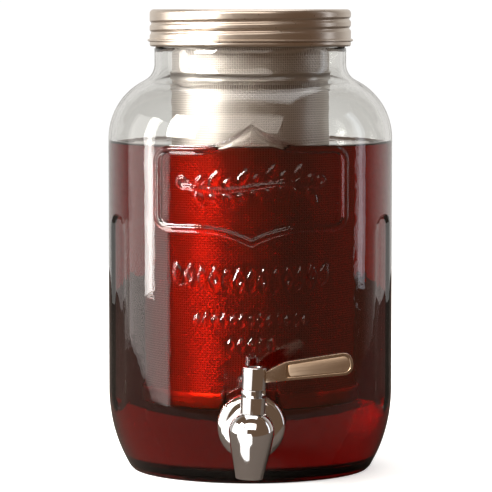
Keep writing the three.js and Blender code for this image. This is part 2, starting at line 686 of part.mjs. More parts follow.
/** The outline of the panel on the paddle's face, inset by a margin. */
function panelShape(margin) {
  const tipR = PADDLE_TIP_R - margin;
  const [from, straight] = [PADDLE_ROOT - PANEL_RIM + margin, PADDLE_L - PADDLE_TIP_R];
  const [low, high] = [margin - PADDLE_ROOT_HALF, PADDLE_ROOT_HALF - margin];
  const inner = PADDLE_TIP_HALF - PADDLE_TIP_R;
  const quarter = Math.PI / 2;
  const shape = new THREE.Shape();
  shape.moveTo(from + tipR / 2, low);
  shape.absarc(straight, -inner, tipR, -quarter, 0, false);
  shape.absarc(straight, inner, tipR, 0, quarter, false);
  shape.lineTo(from + tipR / 2, high);
  shape.quadraticCurveTo(from, high, from, 0);
  shape.quadraticCurveTo(from, low, from + tipR / 2, low);
  return shape;
}

/** Puts what was drawn along the paddle's centre line on the lever. */
const onPaddle = (body) => body.rotate([0, -PADDLE_TILT_DEG, 0]).translate([0, 0, PADDLE_RISE]);

/** The lever: a hub on the stem, the stop that hangs into the bonnet's notch, and the paddle. */
function leverHandle() {
  const hub = turned(
    [
      [0, HUB_Z],
      [HUB_R, HUB_Z],
      [HUB_R, HUB_TOP - HUB_CHAMFER],
      [HUB_R - HUB_CHAMFER, HUB_TOP],
      [0, HUB_TOP],
    ],
    FINE_FACETS,
  );
  const stopTo = NOTCH_TO_DEG - STOP_CLEAR_DEG;
  const stop = wedge(STEM_BORE_R, HUB_R, stopTo - STOP_DEG, stopTo, HUB_Z - STOP_H, HUB_Z + GAP);
  const paddle = slab(paddleShape(), -PADDLE_T / 2, PADDLE_T / 2);
  const recess = slab(panelShape(PANEL_RIM), -PADDLE_T, PANEL_DEPTH - PADDLE_T / 2);
  return hub
    .add(stop)
    .add(onPaddle(paddle.subtract(recess)))
    .subtract(bar(STEM_R + GAP, HUB_Z - OVERRUN, STEM_TOP + GAP))
    .subtract(bar(SCREW_R + GAP, STEM_TOP, HUB_TOP + OVERRUN))
    .subtract(bar(SCREW_HEAD_R + GAP, SCREW_FLOOR, HUB_TOP + OVERRUN));
}

/** The brushed plate set into the paddle's face. */
function leverPanel() {
  const back = PANEL_DEPTH - PADDLE_T / 2 - GAP;
  return onPaddle(slab(panelShape(PANEL_RIM + GAP), back - PANEL_T, back));
}

/** The screw that holds the lever on the stem. */
function leverScrew() {
  const head = SCREW_FLOOR + GAP;
  return turned([
    [0, STEM_TOP - SCREW_L + GAP],
    [SCREW_R, STEM_TOP - SCREW_L + GAP],
    [SCREW_R, head],
    [SCREW_HEAD_R, head],
    [SCREW_HEAD_R, head + SCREW_HEAD_T],
    [0, head + SCREW_HEAD_T],
  ], SMALL_FACETS);
}

// ---- Materials -----------------------------------------------------------------------------------------------
const finish = (color, roughness, metalness, extra = {}) =>
  new THREE.MeshStandardMaterial({ color, roughness, metalness, ...extra });
const GLASS = finish(0xe6ece6, 0.05, 0, { transparent: true, opacity: 0.35 });
const TIN = finish(0xb9b2a8, 0.35, 1);
const CHROME = finish(0xd8d8da, 0.08, 1);
const BRUSHED = finish(0xb8a088, 0.35, 1);
const STEEL = finish(0xa9a39c, 0.3, 1);
const WEAVE = finish(0x9d968e, 0.4, 1);
const SILICONE = finish(0xe8e6e0, 0.55, 0);
const LINER = finish(0xf1efe9, 0.6, 0);

// ---- The assembly --------------------------------------------------------------------------------------------
/** A group of named meshes, each entry a name, a solid and a material. */
function assembly(entries) {
  const group = new THREE.Group();
  for (const [name, body, material] of entries) {
    const mesh = new THREE.Mesh(geometryOf(body), material);
    mesh.name = name;
    group.add(mesh);
  }
  return group;
}

const jar = assembly([['glass_jar', glassJar(), GLASS]]);

const infuser = assembly([
  ['infuser_gasket', infuserGasket(), SILICONE],
  ['infuser_flange', infuserFlange(), STEEL],
  ['infuser_mesh', infuserMesh(), WEAVE],
  ['infuser_band', infuserBand(), STEEL],
  ['infuser_seam', infuserSeam(), STEEL],
  ['infuser_cup', infuserCup(), STEEL],
]);

const lid = assembly([
  ['lid_liner', lidLiner(), LINER],
  ['lid_shell', lidShell(), TIN],
]);

const tap = assembly([
  ['tap_outer_seal', tapOuterSeal(), SILICONE],
  ['tap_escutcheon', tapEscutcheon(), CHROME],
  ['tap_body', tapBody(), CHROME],
  ['tap_shank', tapShank(), STEEL],
  ['tap_inner_seal', tapInnerSeal(), SILICONE],
  ['tap_washer', tapWasher(), STEEL],
  ['tap_lock_nut', tapLockNut(), STEEL],
]);

const valve = assembly([
  ['tap_bonnet', tapBonnet(), CHROME],
  ['valve_stem', valveStem(), STEEL],
  ['stem_ring_upper', stemRing(RING_UP), SILICONE],
  ['stem_ring_lower', stemRing(RING_DOWN), SILICONE],
  ['stem_clip', stemClip(), STEEL],
  ['lever_handle', leverHandle(), CHROME],
  ['lever_panel', leverPanel(), BRUSHED],
  ['lever_screw', leverScrew(), STEEL],
]);

valve.position.y = VALVE_Y;
tap.add(valve);
tap.position.z = TAP_Z;
tap.rotation.y = THREE.MathUtils.degToRad(TAP_LEAN_DEG);

const dispenser = new THREE.Group();
dispenser.add(jar, infuser, lid, tap);
dispenser.position.y = JAR_AXIS_Y;

export default dispenser;
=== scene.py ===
"""Studio scene of a glass drink dispenser: jar, screw lid, hanging infuser, tap and the drink in it."""
import json
import logging
import math
from collections.abc import Callable, Sequence
from dataclasses import dataclass
from enum import Enum

import bmesh
import bpy
import numpy as np
from mathutils import Matrix, Vector


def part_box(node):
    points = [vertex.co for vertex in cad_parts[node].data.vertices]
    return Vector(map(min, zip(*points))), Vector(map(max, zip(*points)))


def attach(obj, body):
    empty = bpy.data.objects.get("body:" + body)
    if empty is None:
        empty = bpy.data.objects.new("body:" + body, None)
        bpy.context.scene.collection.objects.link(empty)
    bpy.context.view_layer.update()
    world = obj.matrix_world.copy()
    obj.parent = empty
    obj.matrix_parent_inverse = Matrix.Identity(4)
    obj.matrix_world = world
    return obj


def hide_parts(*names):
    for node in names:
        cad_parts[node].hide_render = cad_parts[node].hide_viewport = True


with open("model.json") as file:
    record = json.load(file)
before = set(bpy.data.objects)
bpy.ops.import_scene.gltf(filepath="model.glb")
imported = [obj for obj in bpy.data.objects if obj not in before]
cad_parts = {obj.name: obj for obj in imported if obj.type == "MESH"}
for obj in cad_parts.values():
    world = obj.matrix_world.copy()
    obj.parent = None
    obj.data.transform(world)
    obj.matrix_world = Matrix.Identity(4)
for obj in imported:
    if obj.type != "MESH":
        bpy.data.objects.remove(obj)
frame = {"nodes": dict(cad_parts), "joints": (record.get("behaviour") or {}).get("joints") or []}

LOG = logging.getLogger("dispenser")
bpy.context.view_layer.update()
MM = 0.001
MERGE = 0.01  # millimetres between points that are one
FULL_TURN = 2 * math.pi
THREAD_PITCH = 5.08  # millimetres, of the mouth and the lid
PADDLE_TILT = 10.2  # degrees that the lever's paddle rises
TAP_LEAN = 3.0  # degrees that the tap stands turned about its shank
TAP_PIECES = ("tap_plate", "tap_bulb", "tap_collar", "lever_arm", "lever_plate")

Colour = tuple[float, float, float]
Wire = tuple[tuple[float, float], ...]
Sector = tuple[float, int]
BMesh = bmesh.types.BMesh


class Body(Enum):
    """The bodies that new pieces ride on."""

    JAR = "jar"
    INFUSER = "infuser"
    LID = "lid"
    LEVER = "lever"


# ---- Places --------------------------------------------------------------------------------------
def jar_axis() -> Vector:
    """Gives the foot of the jar's own axis, in metres.

    Returns:
        The point on the floor below the middle of the lid.
    """
    low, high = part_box("lid_shell")
    return Vector((0.0, (low.y + high.y) / 2, 0.0))


def lever_joint() -> dict:
    """Gives the record's joint that turns the lever."""
    return next(joint for joint in frame["joints"] if joint["name"] == "lever_turn")


@dataclass(frozen=True)
class Places:
    """The three drawing frames of the pieces, in millimetres, as matrices into the model's."""

    jar: Matrix
    shank: Matrix
    valve: Matrix

    @classmethod
    def from_frame(cls) -> "Places":
        """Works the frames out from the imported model.

        Returns:
            The frames of the jar's axis, the tap's shank and the valve's axis.
        """
        joint = lever_joint()
        down = Vector(joint["axis"])
        lean = Matrix.Rotation(math.atan2(-down.x, -down.z), 4, "Y")
        valve = Vector(joint["pos_m"])
        axis = jar_axis()
        scale = Matrix.Scale(MM, 4)
        root = Matrix.Translation(Vector((axis.x, axis.y, valve.z)))
        outward = Matrix.Rotation(math.pi / 2, 4, "X")
        return cls(
            jar=Matrix.Translation(axis) @ scale,
            shank=root @ lean @ outward @ scale,
            valve=Matrix.Translation(valve) @ lean @ scale,
        )


# ---- Mesh making ---------------------------------------------------------------------------------
class Pen:
    """Draws the half section of a turned piece, in the plane of radius and height."""

    def __init__(self, mesh: BMesh, radius: float, height: float) -> None:
        """Puts the pen down.

        Args:
            mesh: The mesh that takes the wire.
            radius: Distance of the first point from the axis, in millimetres.
            height: Height of the first point, in millimetres.
        """
        self.mesh = mesh
        self.tip = mesh.verts.new((radius, 0.0, height))
        self.first = self.tip

    def line(self, radius: float, height: float, steps: int = 1) -> "Pen":
        """Draws a straight line in equal steps.

        Args:
            radius: Distance of its end from the axis.
            height: Height of its end.
            steps: Number of edges.

        Returns:
            The pen itself.
        """
        start = self.tip.co.copy()
        end = Vector((radius, 0.0, height))
        for step in range(1, steps + 1):
            self.tip = bmesh.ops.extrude_vert_indiv(self.mesh, verts=[self.tip])["verts"][0]
            self.tip.co = start.lerp(end, step / steps)
        return self

    def arc(self, centre: tuple[float, float], turn: float, steps: int) -> "Pen":
        """Draws an arc, anticlockwise for a positive turn.

        Args:
            centre: Radius and height of the arc's centre.
            turn: Angle in degrees.
            steps: Number of edges.

        Returns:
            The pen itself.
        """
        made = bmesh.ops.spin(
            self.mesh,
            geom=[self.tip],
            cent=(centre[0], 0.0, centre[1]),
            axis=(0.0, -1.0, 0.0),
            angle=math.radians(turn),
            steps=steps,
            use_duplicate=False,
        )
        self.tip = next(item for item in made["geom_last"] if isinstance(item, bmesh.types.BMVert))
        return self

    def close(self) -> None:
        """Joins the last point to the first."""
        self.mesh.edges.new((self.tip, self.first))


def sweep(mesh: BMesh, sectors: Sequence[Sector], start: float = 0.0) -> None:
    """Turns the drawn wire about Z, sector by sector, and closes what it makes.

    Args:
        mesh: The mesh that holds the wire.
        sectors: An angle in degrees and a number of steps for each sector.
        start: Angle at which the first sector begins.
    """
    bmesh.ops.rotate(mesh, verts=mesh.verts, matrix=Matrix.Rotation(math.radians(start), 3, "Z"))
    edge = [*mesh.verts, *mesh.edges]
    for angle, steps in sectors:
        made = bmesh.ops.spin(
            mesh,
            geom=edge,
            axis=(0.0, 0.0, 1.0),
            angle=math.radians(angle),
            steps=steps,
            use_duplicate=False,
        )
        edge = made["geom_last"]
    bmesh.ops.remove_doubles(mesh, verts=mesh.verts, dist=MERGE)
    open_edges = [item for item in mesh.edges if item.is_boundary]
    if open_edges:
        bmesh.ops.holes_fill(mesh, edges=open_edges)
    bmesh.ops.recalc_face_normals(mesh, faces=mesh.faces)


def soften(mesh: BMesh, width: float, segments: int = 2, from_angle: float = 30.0) -> None:
    """Rounds every edge that turns more than an angle.

    Args:
        mesh: The closed mesh to round.
        width: Width of the rounding, in millimetres.
        segments: Number of faces across it.
        from_angle: Smallest angle between two faces, in degrees, that is rounded.
    """
    limit = math.radians(from_angle)
    sharp = [edge for edge in mesh.edges if edge.is_manifold and edge.calc_face_angle(0.0) > limit]
    bmesh.ops.bevel(
        mesh,
        geom=sharp,
        offset=width,
        affect="EDGES",
        segments=segments,
        profile=0.5,
        material=-1,
        clamp_overlap=True,
    )


def join(mesh: BMesh, part: BMesh) -> None:
    """Adds a part to a mesh and frees the part.

    Args:
        mesh: The mesh that grows.
        part: The part, already in the mesh's drawing frame.
    """
    data = bpy.data.meshes.new("part")
    part.to_mesh(data)
    part.free()
    mesh.from_mesh(data)
    bpy.data.meshes.remove(data)


@dataclass(frozen=True)
class Piece:
    """How a finished mesh joins the model."""

    name: str
    body: Body
    stands_for: tuple[str, ...] = ()
    slot: str = ""
    sharp_from: float = 40.0

    def place(self, mesh: BMesh, matrix: Matrix, material: bpy.types.Material) -> bpy.types.Object:
        """Turns the mesh into an object at its place in the model.

        Args:
            mesh: The mesh, drawn in millimetres. It is freed.
            matrix: The drawing frame that it was made in.
            material: Its finish.

        Returns:
            The new object.
        """
        bmesh.ops.transform(mesh, matrix=matrix, verts=mesh.verts)
        data = bpy.data.meshes.new(self.name)
        mesh.to_mesh(data)
        mesh.free()
        data.shade_smooth()
        data.set_sharp_from_angle(angle=math.radians(self.sharp_from))
        data.materials.append(material)
        piece = bpy.data.objects.new(self.name, data)
        bpy.context.scene.collection.objects.link(piece)
        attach(piece, self.body.value)
        if self.stands_for:
            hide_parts(*self.stands_for)
        LOG.info("%s: %d faces on %s", self.name, len(data.polygons), self.body.value)
        return piece


# ---- Reliefs -----------------------------------------------------------------
def rise(share: np.ndarray) -> np.ndarray:
    """Gives a smooth step that is 0 below 0 and 1 above 1."""
    held = np.clip(share, 0.0, 1.0)
    return held * held * (3 - 2 * held)


def quadratic(start: Sequence[float], pull: Sequence[float], end: Sequence[float], steps: int) -> Wire:
    """Gives the points of a curve between two points that a third one pulls.

    Args:
        start: First point.
        pull: Point that bends the curve.
        end: Last point.
        steps: Number of pieces.

    Returns:
        The points after the first.
    """
    first, middle, last = (np.array(point, float) for point in (start, pull, end))
    shares = [step / steps for step in range(1, steps + 1)]
    points = [first * (1 - t) ** 2 + middle * 2 * t * (1 - t) + last * t * t for t in shares]
    return tuple((float(point[0]), float(point[1])) for point in points)


@dataclass(frozen=True)
class Thread:
    """A screw thread round an upright axis, raised or sunk, in millimetres and degrees."""

    start: float
    turns: float
    first: float
    height: float
    half: float
    slope: float
    fade: float

    def relief(self, angle: np.ndarray, up: np.ndarray) -> np.ndarray:
        """Gives how far each place stands out.

        Args:
            angle: Angles round the axis, in radians.
            up: Heights of those places.

        Returns:
            The relief at each place.
        """
        found = np.zeros(up.shape)
        for lap in (0, 1):
            turned = np.mod(angle - math.radians(self.start), FULL_TURN) / FULL_TURN + lap
            line = self.first + THREAD_PITCH * turned
            ends = rise(turned * self.fade) * rise((self.turns - turned) * self.fade)
            found = np.maximum(found, ends * rise((self.half - np.abs(up - line)) / self.slope))
        return self.height * found


@dataclass(frozen=True)
class Stroke:
    """A raised line of rounded section on the jar's front, in millimetres across and up."""

    points: Wire
    half: float

    def raised(self, across: np.ndarray, up: np.ndarray) -> np.ndarray:
        """Gives how far each place stands out, from 0 to 1.

        Args:
            across: Places across the front.
            up: Heights of those places.

        Returns:
            The relief at each place.
        """
        nearest = np.full(across.shape, np.inf)
        for (x0, z0), (x1, z1) in zip(self.points, self.points[1:]):
            dx, dz = x1 - x0, z1 - z0
            length = max(dx * dx + dz * dz, MERGE)
            share = np.clip(((across - x0) * dx + (up - z0) * dz) / length, 0, 1)
            nearest = np.minimum(nearest, np.hypot(across - x0 - share * dx, up - z0 - share * dz))
        return rise((1 - nearest / self.half) * 2.0)


@dataclass(frozen=True)
class Leaf:
    """A pointed leaf with rounded sides."""

    across: float
    up: float
    length: float
    width: float
    tilt: float

    def raised(self, across: np.ndarray, up: np.ndarray) -> np.ndarray:
        """Gives how far each place stands out, from 0 to 1.

        Args:
            across: Places across the front.
            up: Heights of those places.

        Returns:
            The relief at each place.
        """
        cos, sin = math.cos(math.radians(self.tilt)), math.sin(math.radians(self.tilt))
        along = (across - self.across) * cos + (up - self.up) * sin
        aside = np.abs((up - self.up) * cos - (across - self.across) * sin)
        share = np.clip(along / self.length + 0.5, 0, 1)
        half = self.width / 2 * np.sin(math.pi * share ** 0.8)
        return rise((half - aside) / 1.6) * (half > 0.05)


@dataclass(frozen=True)
class Lozenge:
    """A four-pointed boss with a hollow middle."""

    across: float
    up: float
    half_width: float
    half_height: float
    hollow: float = 0.45

    def raised(self, across: np.ndarray, up: np.ndarray) -> np.ndarray:
        """Gives how far each place stands out, from 0 to 1.

        Args:
            across: Places across the front.
            up: Heights of those places.

        Returns:
            The relief at each place.
        """
        reach = np.abs(across - self.across) / self.half_width + np.abs(up - self.up) / self.half_height
        scale = min(self.half_width, self.half_height)
        outer = rise((1 - reach) * scale / 0.9 + 0.2)
        inner = rise((self.hollow - reach) * scale / 0.8)
        return np.clip(outer - inner, 0, 1)


Relief = Stroke | Leaf | Lozenge


@dataclass(frozen=True)
class Plaque:
    """The framed field on the jar's front and the ornament in and below it, in millimetres."""

    half_width: float = 52.5
    top: float = 183.0
    bottom: float = 137.0
    peak: float = 11.7
    point: float = 7.4
    peak_half: float = 29.5
    corner: float = 8.0
    border: float = 3.8
    height: float = 0.9
    ornament_height: float = 0.8
    stem_up: float = 161.5
    stem_reach: float = 36.0
    stem_sway: float = 1.8
    leaf_reach: float = 30.0
    curl_r: float = 3.4
    curl_close: float = 0.7  # loss of the curl's radius for each radian
    garland_up: float = 111.2
    garland_sag: float = 3.2
    garland_reach: float = 39.0
    beads_up: float = 90.0
    beads_reach: float = 29.0
    drops_up: float = 76.8
    drops_reach: float = 11.0

    def outline(self, inset: float) -> Wire:
        """Draws the field's edge, moved inward.

        Args:
            inset: How far inward.

        Returns:
            The closed line's points.
        """
        right = self.half_width - inset
        top, bottom = self.top - inset, self.bottom + inset
        corner, half = self.corner - inset / 2, self.peak_half
        side: list[tuple[float, float]] = [(right, (top + bottom) / 2), (right, top - corner)]
        side += quadratic(side[-1], (right, top), (right - corner, top), 5)
        side.append((half, top))
        side += quadratic((half, top), (half / 2, top), (0, top + self.peak), 8)
        low: list[tuple[float, float]] = [(right, (top + bottom) / 2), (right, bottom + corner)]
        low += quadratic(low[-1], (right, bottom), (right - corner, bottom), 5)
        low.append((half, bottom))
        low += quadratic((half, bottom), (half / 2, bottom), (0, bottom - self.point), 8)
        mirror_side = [(-x, z) for x, z in reversed(side)]
        mirror_low = [(-x, z) for x, z in low]
        return tuple(side + mirror_side + mirror_low + list(reversed(low)))

    def stem(self, x: float) -> float:
        """Gives the height of the swaying stem."""
        return self.stem_up + self.stem_sway * math.sin(x / self.stem_reach * math.pi)

    def curl(self, end: int) -> Stroke:
        """Makes the curl at one end of the stem.

        Args:
            end: -1 for the left end, 1 for the right one.

        Returns:
            The curl.
        """
        points: list[tuple[float, float]] = []
        for turn in np.linspace(0.0, 1.35 * math.pi, 16).tolist():
            reach = self.curl_r - self.curl_close * turn
            x = end * (self.stem_reach + 0.6 + reach * math.sin(turn))
            points.append((x, self.stem_up + end * 0.4 + self.curl_r - reach * math.cos(turn)))
        return Stroke(tuple(points), 1.15)

    def sprig(self) -> list[Relief]:
        """Makes the sprig of leaves that fills the field.

        Returns:
            Its stem, leaves and end curls.
        """
        places = np.linspace(-self.stem_reach, self.stem_reach, 37).tolist()
        parts: list[Relief] = [Stroke(tuple((x, self.stem(x)) for x in places), 1.3)]
        for index, x in enumerate(np.linspace(-self.leaf_reach, self.leaf_reach, 9).tolist()):
            side = 1 if index % 2 else -1
            parts.append(Leaf(x + 3.0, self.stem(x) + side * 6.4, 12.5, 5.6, side * 62))
            parts.append(Leaf(x + 2.2, self.stem(x) - side * 4.6, 7.0, 4.0, -side * 56))
        return [*parts, self.curl(-1), self.curl(1)]

    def garland(self) -> list[Relief]:
        """Makes the sagging row of leaves and bosses below the field."""
        parts: list[Relief] = []
        for index, x in enumerate(np.linspace(-self.garland_reach, self.garland_reach, 13).tolist()):
            up = self.garland_up + self.garland_sag * (x / self.garland_reach) ** 2
            if index % 2:
                parts.append(Lozenge(x, up, 3.4, 7.6))
            else:
                parts.append(Leaf(x, up + 0.2, 15.0, 6.4, 90 - x * 0.35))
        return parts

    def beads(self) -> list[Relief]:
        """Makes the two small rows of bosses under the garland."""
        parts: list[Relief] = []
        for index, x in enumerate(np.linspace(-self.beads_reach, self.beads_reach, 13).tolist()):
            parts.append(Lozenge(x, self.beads_up, 2.1, 4.6 if index % 2 else 3.0, 0.0))
        for x in np.linspace(-self.drops_reach, self.drops_reach, 5).tolist():
            parts.append(Lozenge(x, self.drops_up, 2.2, 4.4, 0.35))
        return parts

    def relief(self, across: np.ndarray, up: np.ndarray) -> np.ndarray:
        """Gives the relief of the frame and its ornament, in millimetres.

        Args:
            across: Places across the front.
            up: Heights of those places.

        Returns:
            How far each place stands out.
        """
        ring = Stroke(self.outline(self.border / 2), self.border / 2)
        found = self.height * ring.raised(across, up)
        for part in [*self.sprig(), *self.garland(), *self.beads()]:
            found = np.maximum(found, self.ornament_height * part.raised(across, up))
        return found


# ---- Shader groups -------------------------------------------------------------------------------
class Graph:
    """A hand on a node tree that adds and joins nodes."""

    def __init__(self, tree: bpy.types.NodeTree) -> None:
        """Takes the tree to work on."""
        self.tree = tree

    def add(
        self, kind: str, inputs: dict[str, object] | None = None, **settings: object
    ) -> bpy.types.Node:
        """Adds a node.

        Args:
            kind: Node type.
            inputs: Values, or sockets to join, by input name.
            settings: Properties of the node.

        Returns:
            The new node.
        """
        node = self.tree.nodes.new(kind)
        for name, value in settings.items():
            setattr(node, name, value)
        for name, value in (inputs or {}).items():
            self.feed(node, name, value)
        return node

    def feed(self, node: bpy.types.Node, name: str | int, value: object) -> None:
        """Sets an input, or joins a socket to it.

        Args:
            node: The node that is fed.
            name: Its input's name or place.
            value: A plain value or an output socket.
        """
        socket = node.inputs[name]
        if isinstance(value, bpy.types.NodeSocket):
            self.tree.links.new(value, socket)
        else:
            socket.default_value = value

    def sum(self, operation: str, *values: object) -> bpy.types.NodeSocket:
        """Adds a Math node and gives its result.

        Args:
            operation: The Math operation.
            values: Its inputs, in order.

        Returns:
            The output socket.
        """
        node = self.tree.nodes.new("ShaderNodeMath")
        node.operation = operation
        for place, value in enumerate(values):
            self.feed(node, place, value)
        return node.outputs[0]

    def mix(self, share: object, low: object, high: object) -> bpy.types.NodeSocket:
        """Mixes two colours.

        Args:
            share: Share of the second colour.
            low: First colour.
            high: Second colour.

        Returns:
            The mixed colour's socket.
        """
        node = self.tree.nodes.new("ShaderNodeMix")
        node.data_type = "RGBA"
        self.feed(node, 0, share)
        self.feed(node, 6, low)
        self.feed(node, 7, high)
        return node.outputs[2]

    def output(self) -> bpy.types.Node:
        """Finds the material's output node."""
        return next(node for node in self.tree.nodes if node.type == "OUTPUT_MATERIAL")

    def by_ray(self, seen: bpy.types.Node, other: bpy.types.Node) -> bpy.types.NodeSocket:
        """Mixes a shader that the camera sees with one that all other rays meet.

        Args:
            seen: Node of the shader for camera rays.
            other: Node of the shader for other rays.

        Returns:
            The mixed shader's socket.
        """
        both = self.add("ShaderNodeMixShader")
        self.feed(both, 0, self.add("ShaderNodeLightPath").outputs["Is Camera Ray"])
        self.feed(both, 1, other.outputs[0])
        self.feed(both, 2, seen.outputs[0])
        return both.outputs[0]

    def span(self, value: object, low: object, high: object) -> bpy.types.NodeSocket:
        """Maps 0..1 to a span of values.

        Args:
            value: The socket to map.
            low: Result at 0.
            high: Result at 1.

        Returns:
            The mapped value's socket.
        """
        node = self.add("ShaderNodeMapRange")
        self.feed(node, "Value", value)
        self.feed(node, "To Min", low)
        self.feed(node, "To Max", high)
        return node.outputs["Result"]


Socket = tuple[str, object]


class Effect(Enum):
    """The shared shader groups."""

    MOTTLE = "mottle"
    BRUSHING = "brushing"
    WEAVE = "weave"


def rgba(colour: Colour) -> tuple[float, float, float, float]:
    """Adds a full alpha to a colour."""
    return (*colour, 1.0)


class Effects:
    """Builds each shared shader group once."""

    def __init__(self) -> None:
        """Builds all groups."""
        self.groups = {
            Effect.MOTTLE: self.mottle(),
            Effect.BRUSHING: self.brushing(),
            Effect.WEAVE: self.weave(),
        }

    @staticmethod
    def start(
        name: str, inputs: dict[str, Socket], outputs: dict[str, str]
    ) -> tuple[Graph, bpy.types.Node, bpy.types.Node]:
        """Makes an empty group with named sockets.

        Args:
            name: The group's name.
            inputs: Socket type and default value by name.
            outputs: Socket type by name.

        Returns:
            A graph on the group, its input node and its output node.
        """
        tree = bpy.data.node_groups.new(name, "ShaderNodeTree")
        for label, (kind, value) in inputs.items():
            socket = tree.interface.new_socket(label, in_out="INPUT", socket_type=kind)
            socket.default_value = value
        for label, kind in outputs.items():
            tree.interface.new_socket(label, in_out="OUTPUT", socket_type=kind)
        graph = Graph(tree)
        return graph, graph.add("NodeGroupInput"), graph.add("NodeGroupOutput")

    def mottle(self) -> bpy.types.NodeTree:
        """Makes soft clouds and fine specks, for colour and gloss that change over a surface."""
        graph, given, result = self.start(
            "soft_mottle",
            {"Scale": ("NodeSocketFloat", 40.0), "Fine": ("NodeSocketFloat", 12.0)},
            {"Clouds": "NodeSocketFloat", "Specks": "NodeSocketFloat"},
        )
        place = graph.add("ShaderNodeTexCoord").outputs["Object"]
        scale = given.outputs["Scale"]
        broad = graph.add("ShaderNodeTexNoise", {"Vector": place, "Scale": scale, "Detail": 3.0})
        close = graph.sum("MULTIPLY", scale, given.outputs["Fine"])
        fine = graph.add("ShaderNodeTexNoise", {"Vector": place, "Scale": close, "Detail": 2.0})
        graph.feed(result, "Clouds", broad.outputs[0])
        graph.feed(result, "Specks", fine.outputs[0])
        return graph.tree

    def brushing(self) -> bpy.types.NodeTree:
        """Makes fine lines along one direction, as left by a brushing belt."""
        graph, given, result = self.start(
            "brushed_lines",
            {
                "Turn": ("NodeSocketVector", (0.0, 0.0, 0.0)),
                "Stretch": ("NodeSocketVector", (60.0, 2500.0, 2500.0)),
            },
            {"Lines": "NodeSocketFloat"},
        )
        place = graph.add("ShaderNodeTexCoord").outputs["Object"]
        turned = graph.add("ShaderNodeVectorRotate", {"Vector": place}, rotation_type="EULER_XYZ")
        graph.feed(turned, "Rotation", given.outputs["Turn"])
        scaled = graph.add("ShaderNodeVectorMath", operation="MULTIPLY")
        graph.feed(scaled, 0, turned.outputs[0])
        graph.feed(scaled, 1, given.outputs["Stretch"])
        noise = graph.add("ShaderNodeTexNoise", {"Scale": 1.0, "Detail": 3.0})
        graph.feed(noise, "Vector", scaled.outputs[0])
        graph.feed(result, "Lines", noise.outputs[0])
        return graph.tree

    def weave(self) -> bpy.types.NodeTree:
        """Makes a plain woven wire cloth round an upright axis."""
        graph, given, result = self.start(
            "wire_weave",
            {
                "Centre": ("NodeSocketVector", (0.0, 0.0, 0.0)),
                "Around": ("NodeSocketFloat", 210.0),
                "Pitch": ("NodeSocketFloat", 0.0013),
            },
            {"Height": "NodeSocketFloat", "Wire": "NodeSocketFloat"},
        )
        place = graph.add("ShaderNodeTexCoord").outputs["Object"]
        moved = graph.add("ShaderNodeVectorMath", operation="SUBTRACT")
        graph.feed(moved, 0, place)
        graph.feed(moved, 1, given.outputs["Centre"])
        parts = graph.add("ShaderNodeSeparateXYZ", {"Vector": moved.outputs[0]})
        angle = graph.sum("ARCTAN2", parts.outputs[1], parts.outputs[0])
        around = graph.sum("MULTIPLY", angle, graph.sum("DIVIDE", given.outputs["Around"], 2.0))
        rows = graph.sum("DIVIDE", parts.outputs[2], given.outputs["Pitch"])
        upward = graph.sum("MULTIPLY", rows, math.pi)
        warp = graph.sum("ABSOLUTE", graph.sum("SINE", around))
        weft = graph.sum("ABSOLUTE", graph.sum("SINE", upward))
        over = graph.sum("MULTIPLY", graph.sum("COSINE", around), graph.sum("COSINE", upward))
        tall = graph.sum("MAXIMUM", warp, weft)
        height = graph.sum("MULTIPLY_ADD", over, 0.3, tall)
        graph.feed(result, "Height", height)
        # Wire is low at the holes between the wires; the weave finish paints the holes dark as painted
        # shade
        graph.feed(result, "Wire", graph.sum("SUBTRACT", tall, 0.35))
        return graph.tree


# ---- Finishes ------------------------------------------------------------------------------------
@dataclass(frozen=True)
class Finish:
    """What every finish shares: a name and a new material with one Principled shader."""

    name: str

    def start(self) -> tuple[bpy.types.Material, Graph, bpy.types.Node]:
        """Makes an empty material.

        Returns:
            The material, a graph on its nodes and its Principled shader.
        """
        material = bpy.data.materials.new(self.name)
        material.use_nodes = True
        graph = Graph(material.node_tree)
        shader = next(node for node in material.node_tree.nodes if node.type == "BSDF_PRINCIPLED")
        return material, graph, shader

    @staticmethod
    def filled(
        graph: Graph, effects: Effects, effect: Effect, inputs: dict[str, object]
    ) -> bpy.types.Node:
        """Adds a group node.

        Args:
            graph: The material's graph.
            effects: All shared groups.
            effect: The group to add.
            inputs: Its values, or sockets to join, by input name.

        Returns:
            The group node.
        """
        node = graph.add("ShaderNodeGroup")
        node.node_tree = effects.groups[effect]
        for name, value in inputs.items():
            graph.feed(node, name, value)
        return node

    @staticmethod
    def bump(
        graph: Graph, shader: bpy.types.Node, height: object, distance: float, strength: float
    ) -> None:
        """Joins a height to the shader through a Bump node.

        Args:
            graph: The material's graph.
            shader: Its Principled shader.
            height: The height's socket.
            distance: Depth of the bump, in metres.
            strength: Share of it that shows.
        """
        values = {"Height": height, "Distance": distance, "Strength": strength}
        graph.feed(shader, "Normal", graph.add("ShaderNodeBump", values).outputs[0])


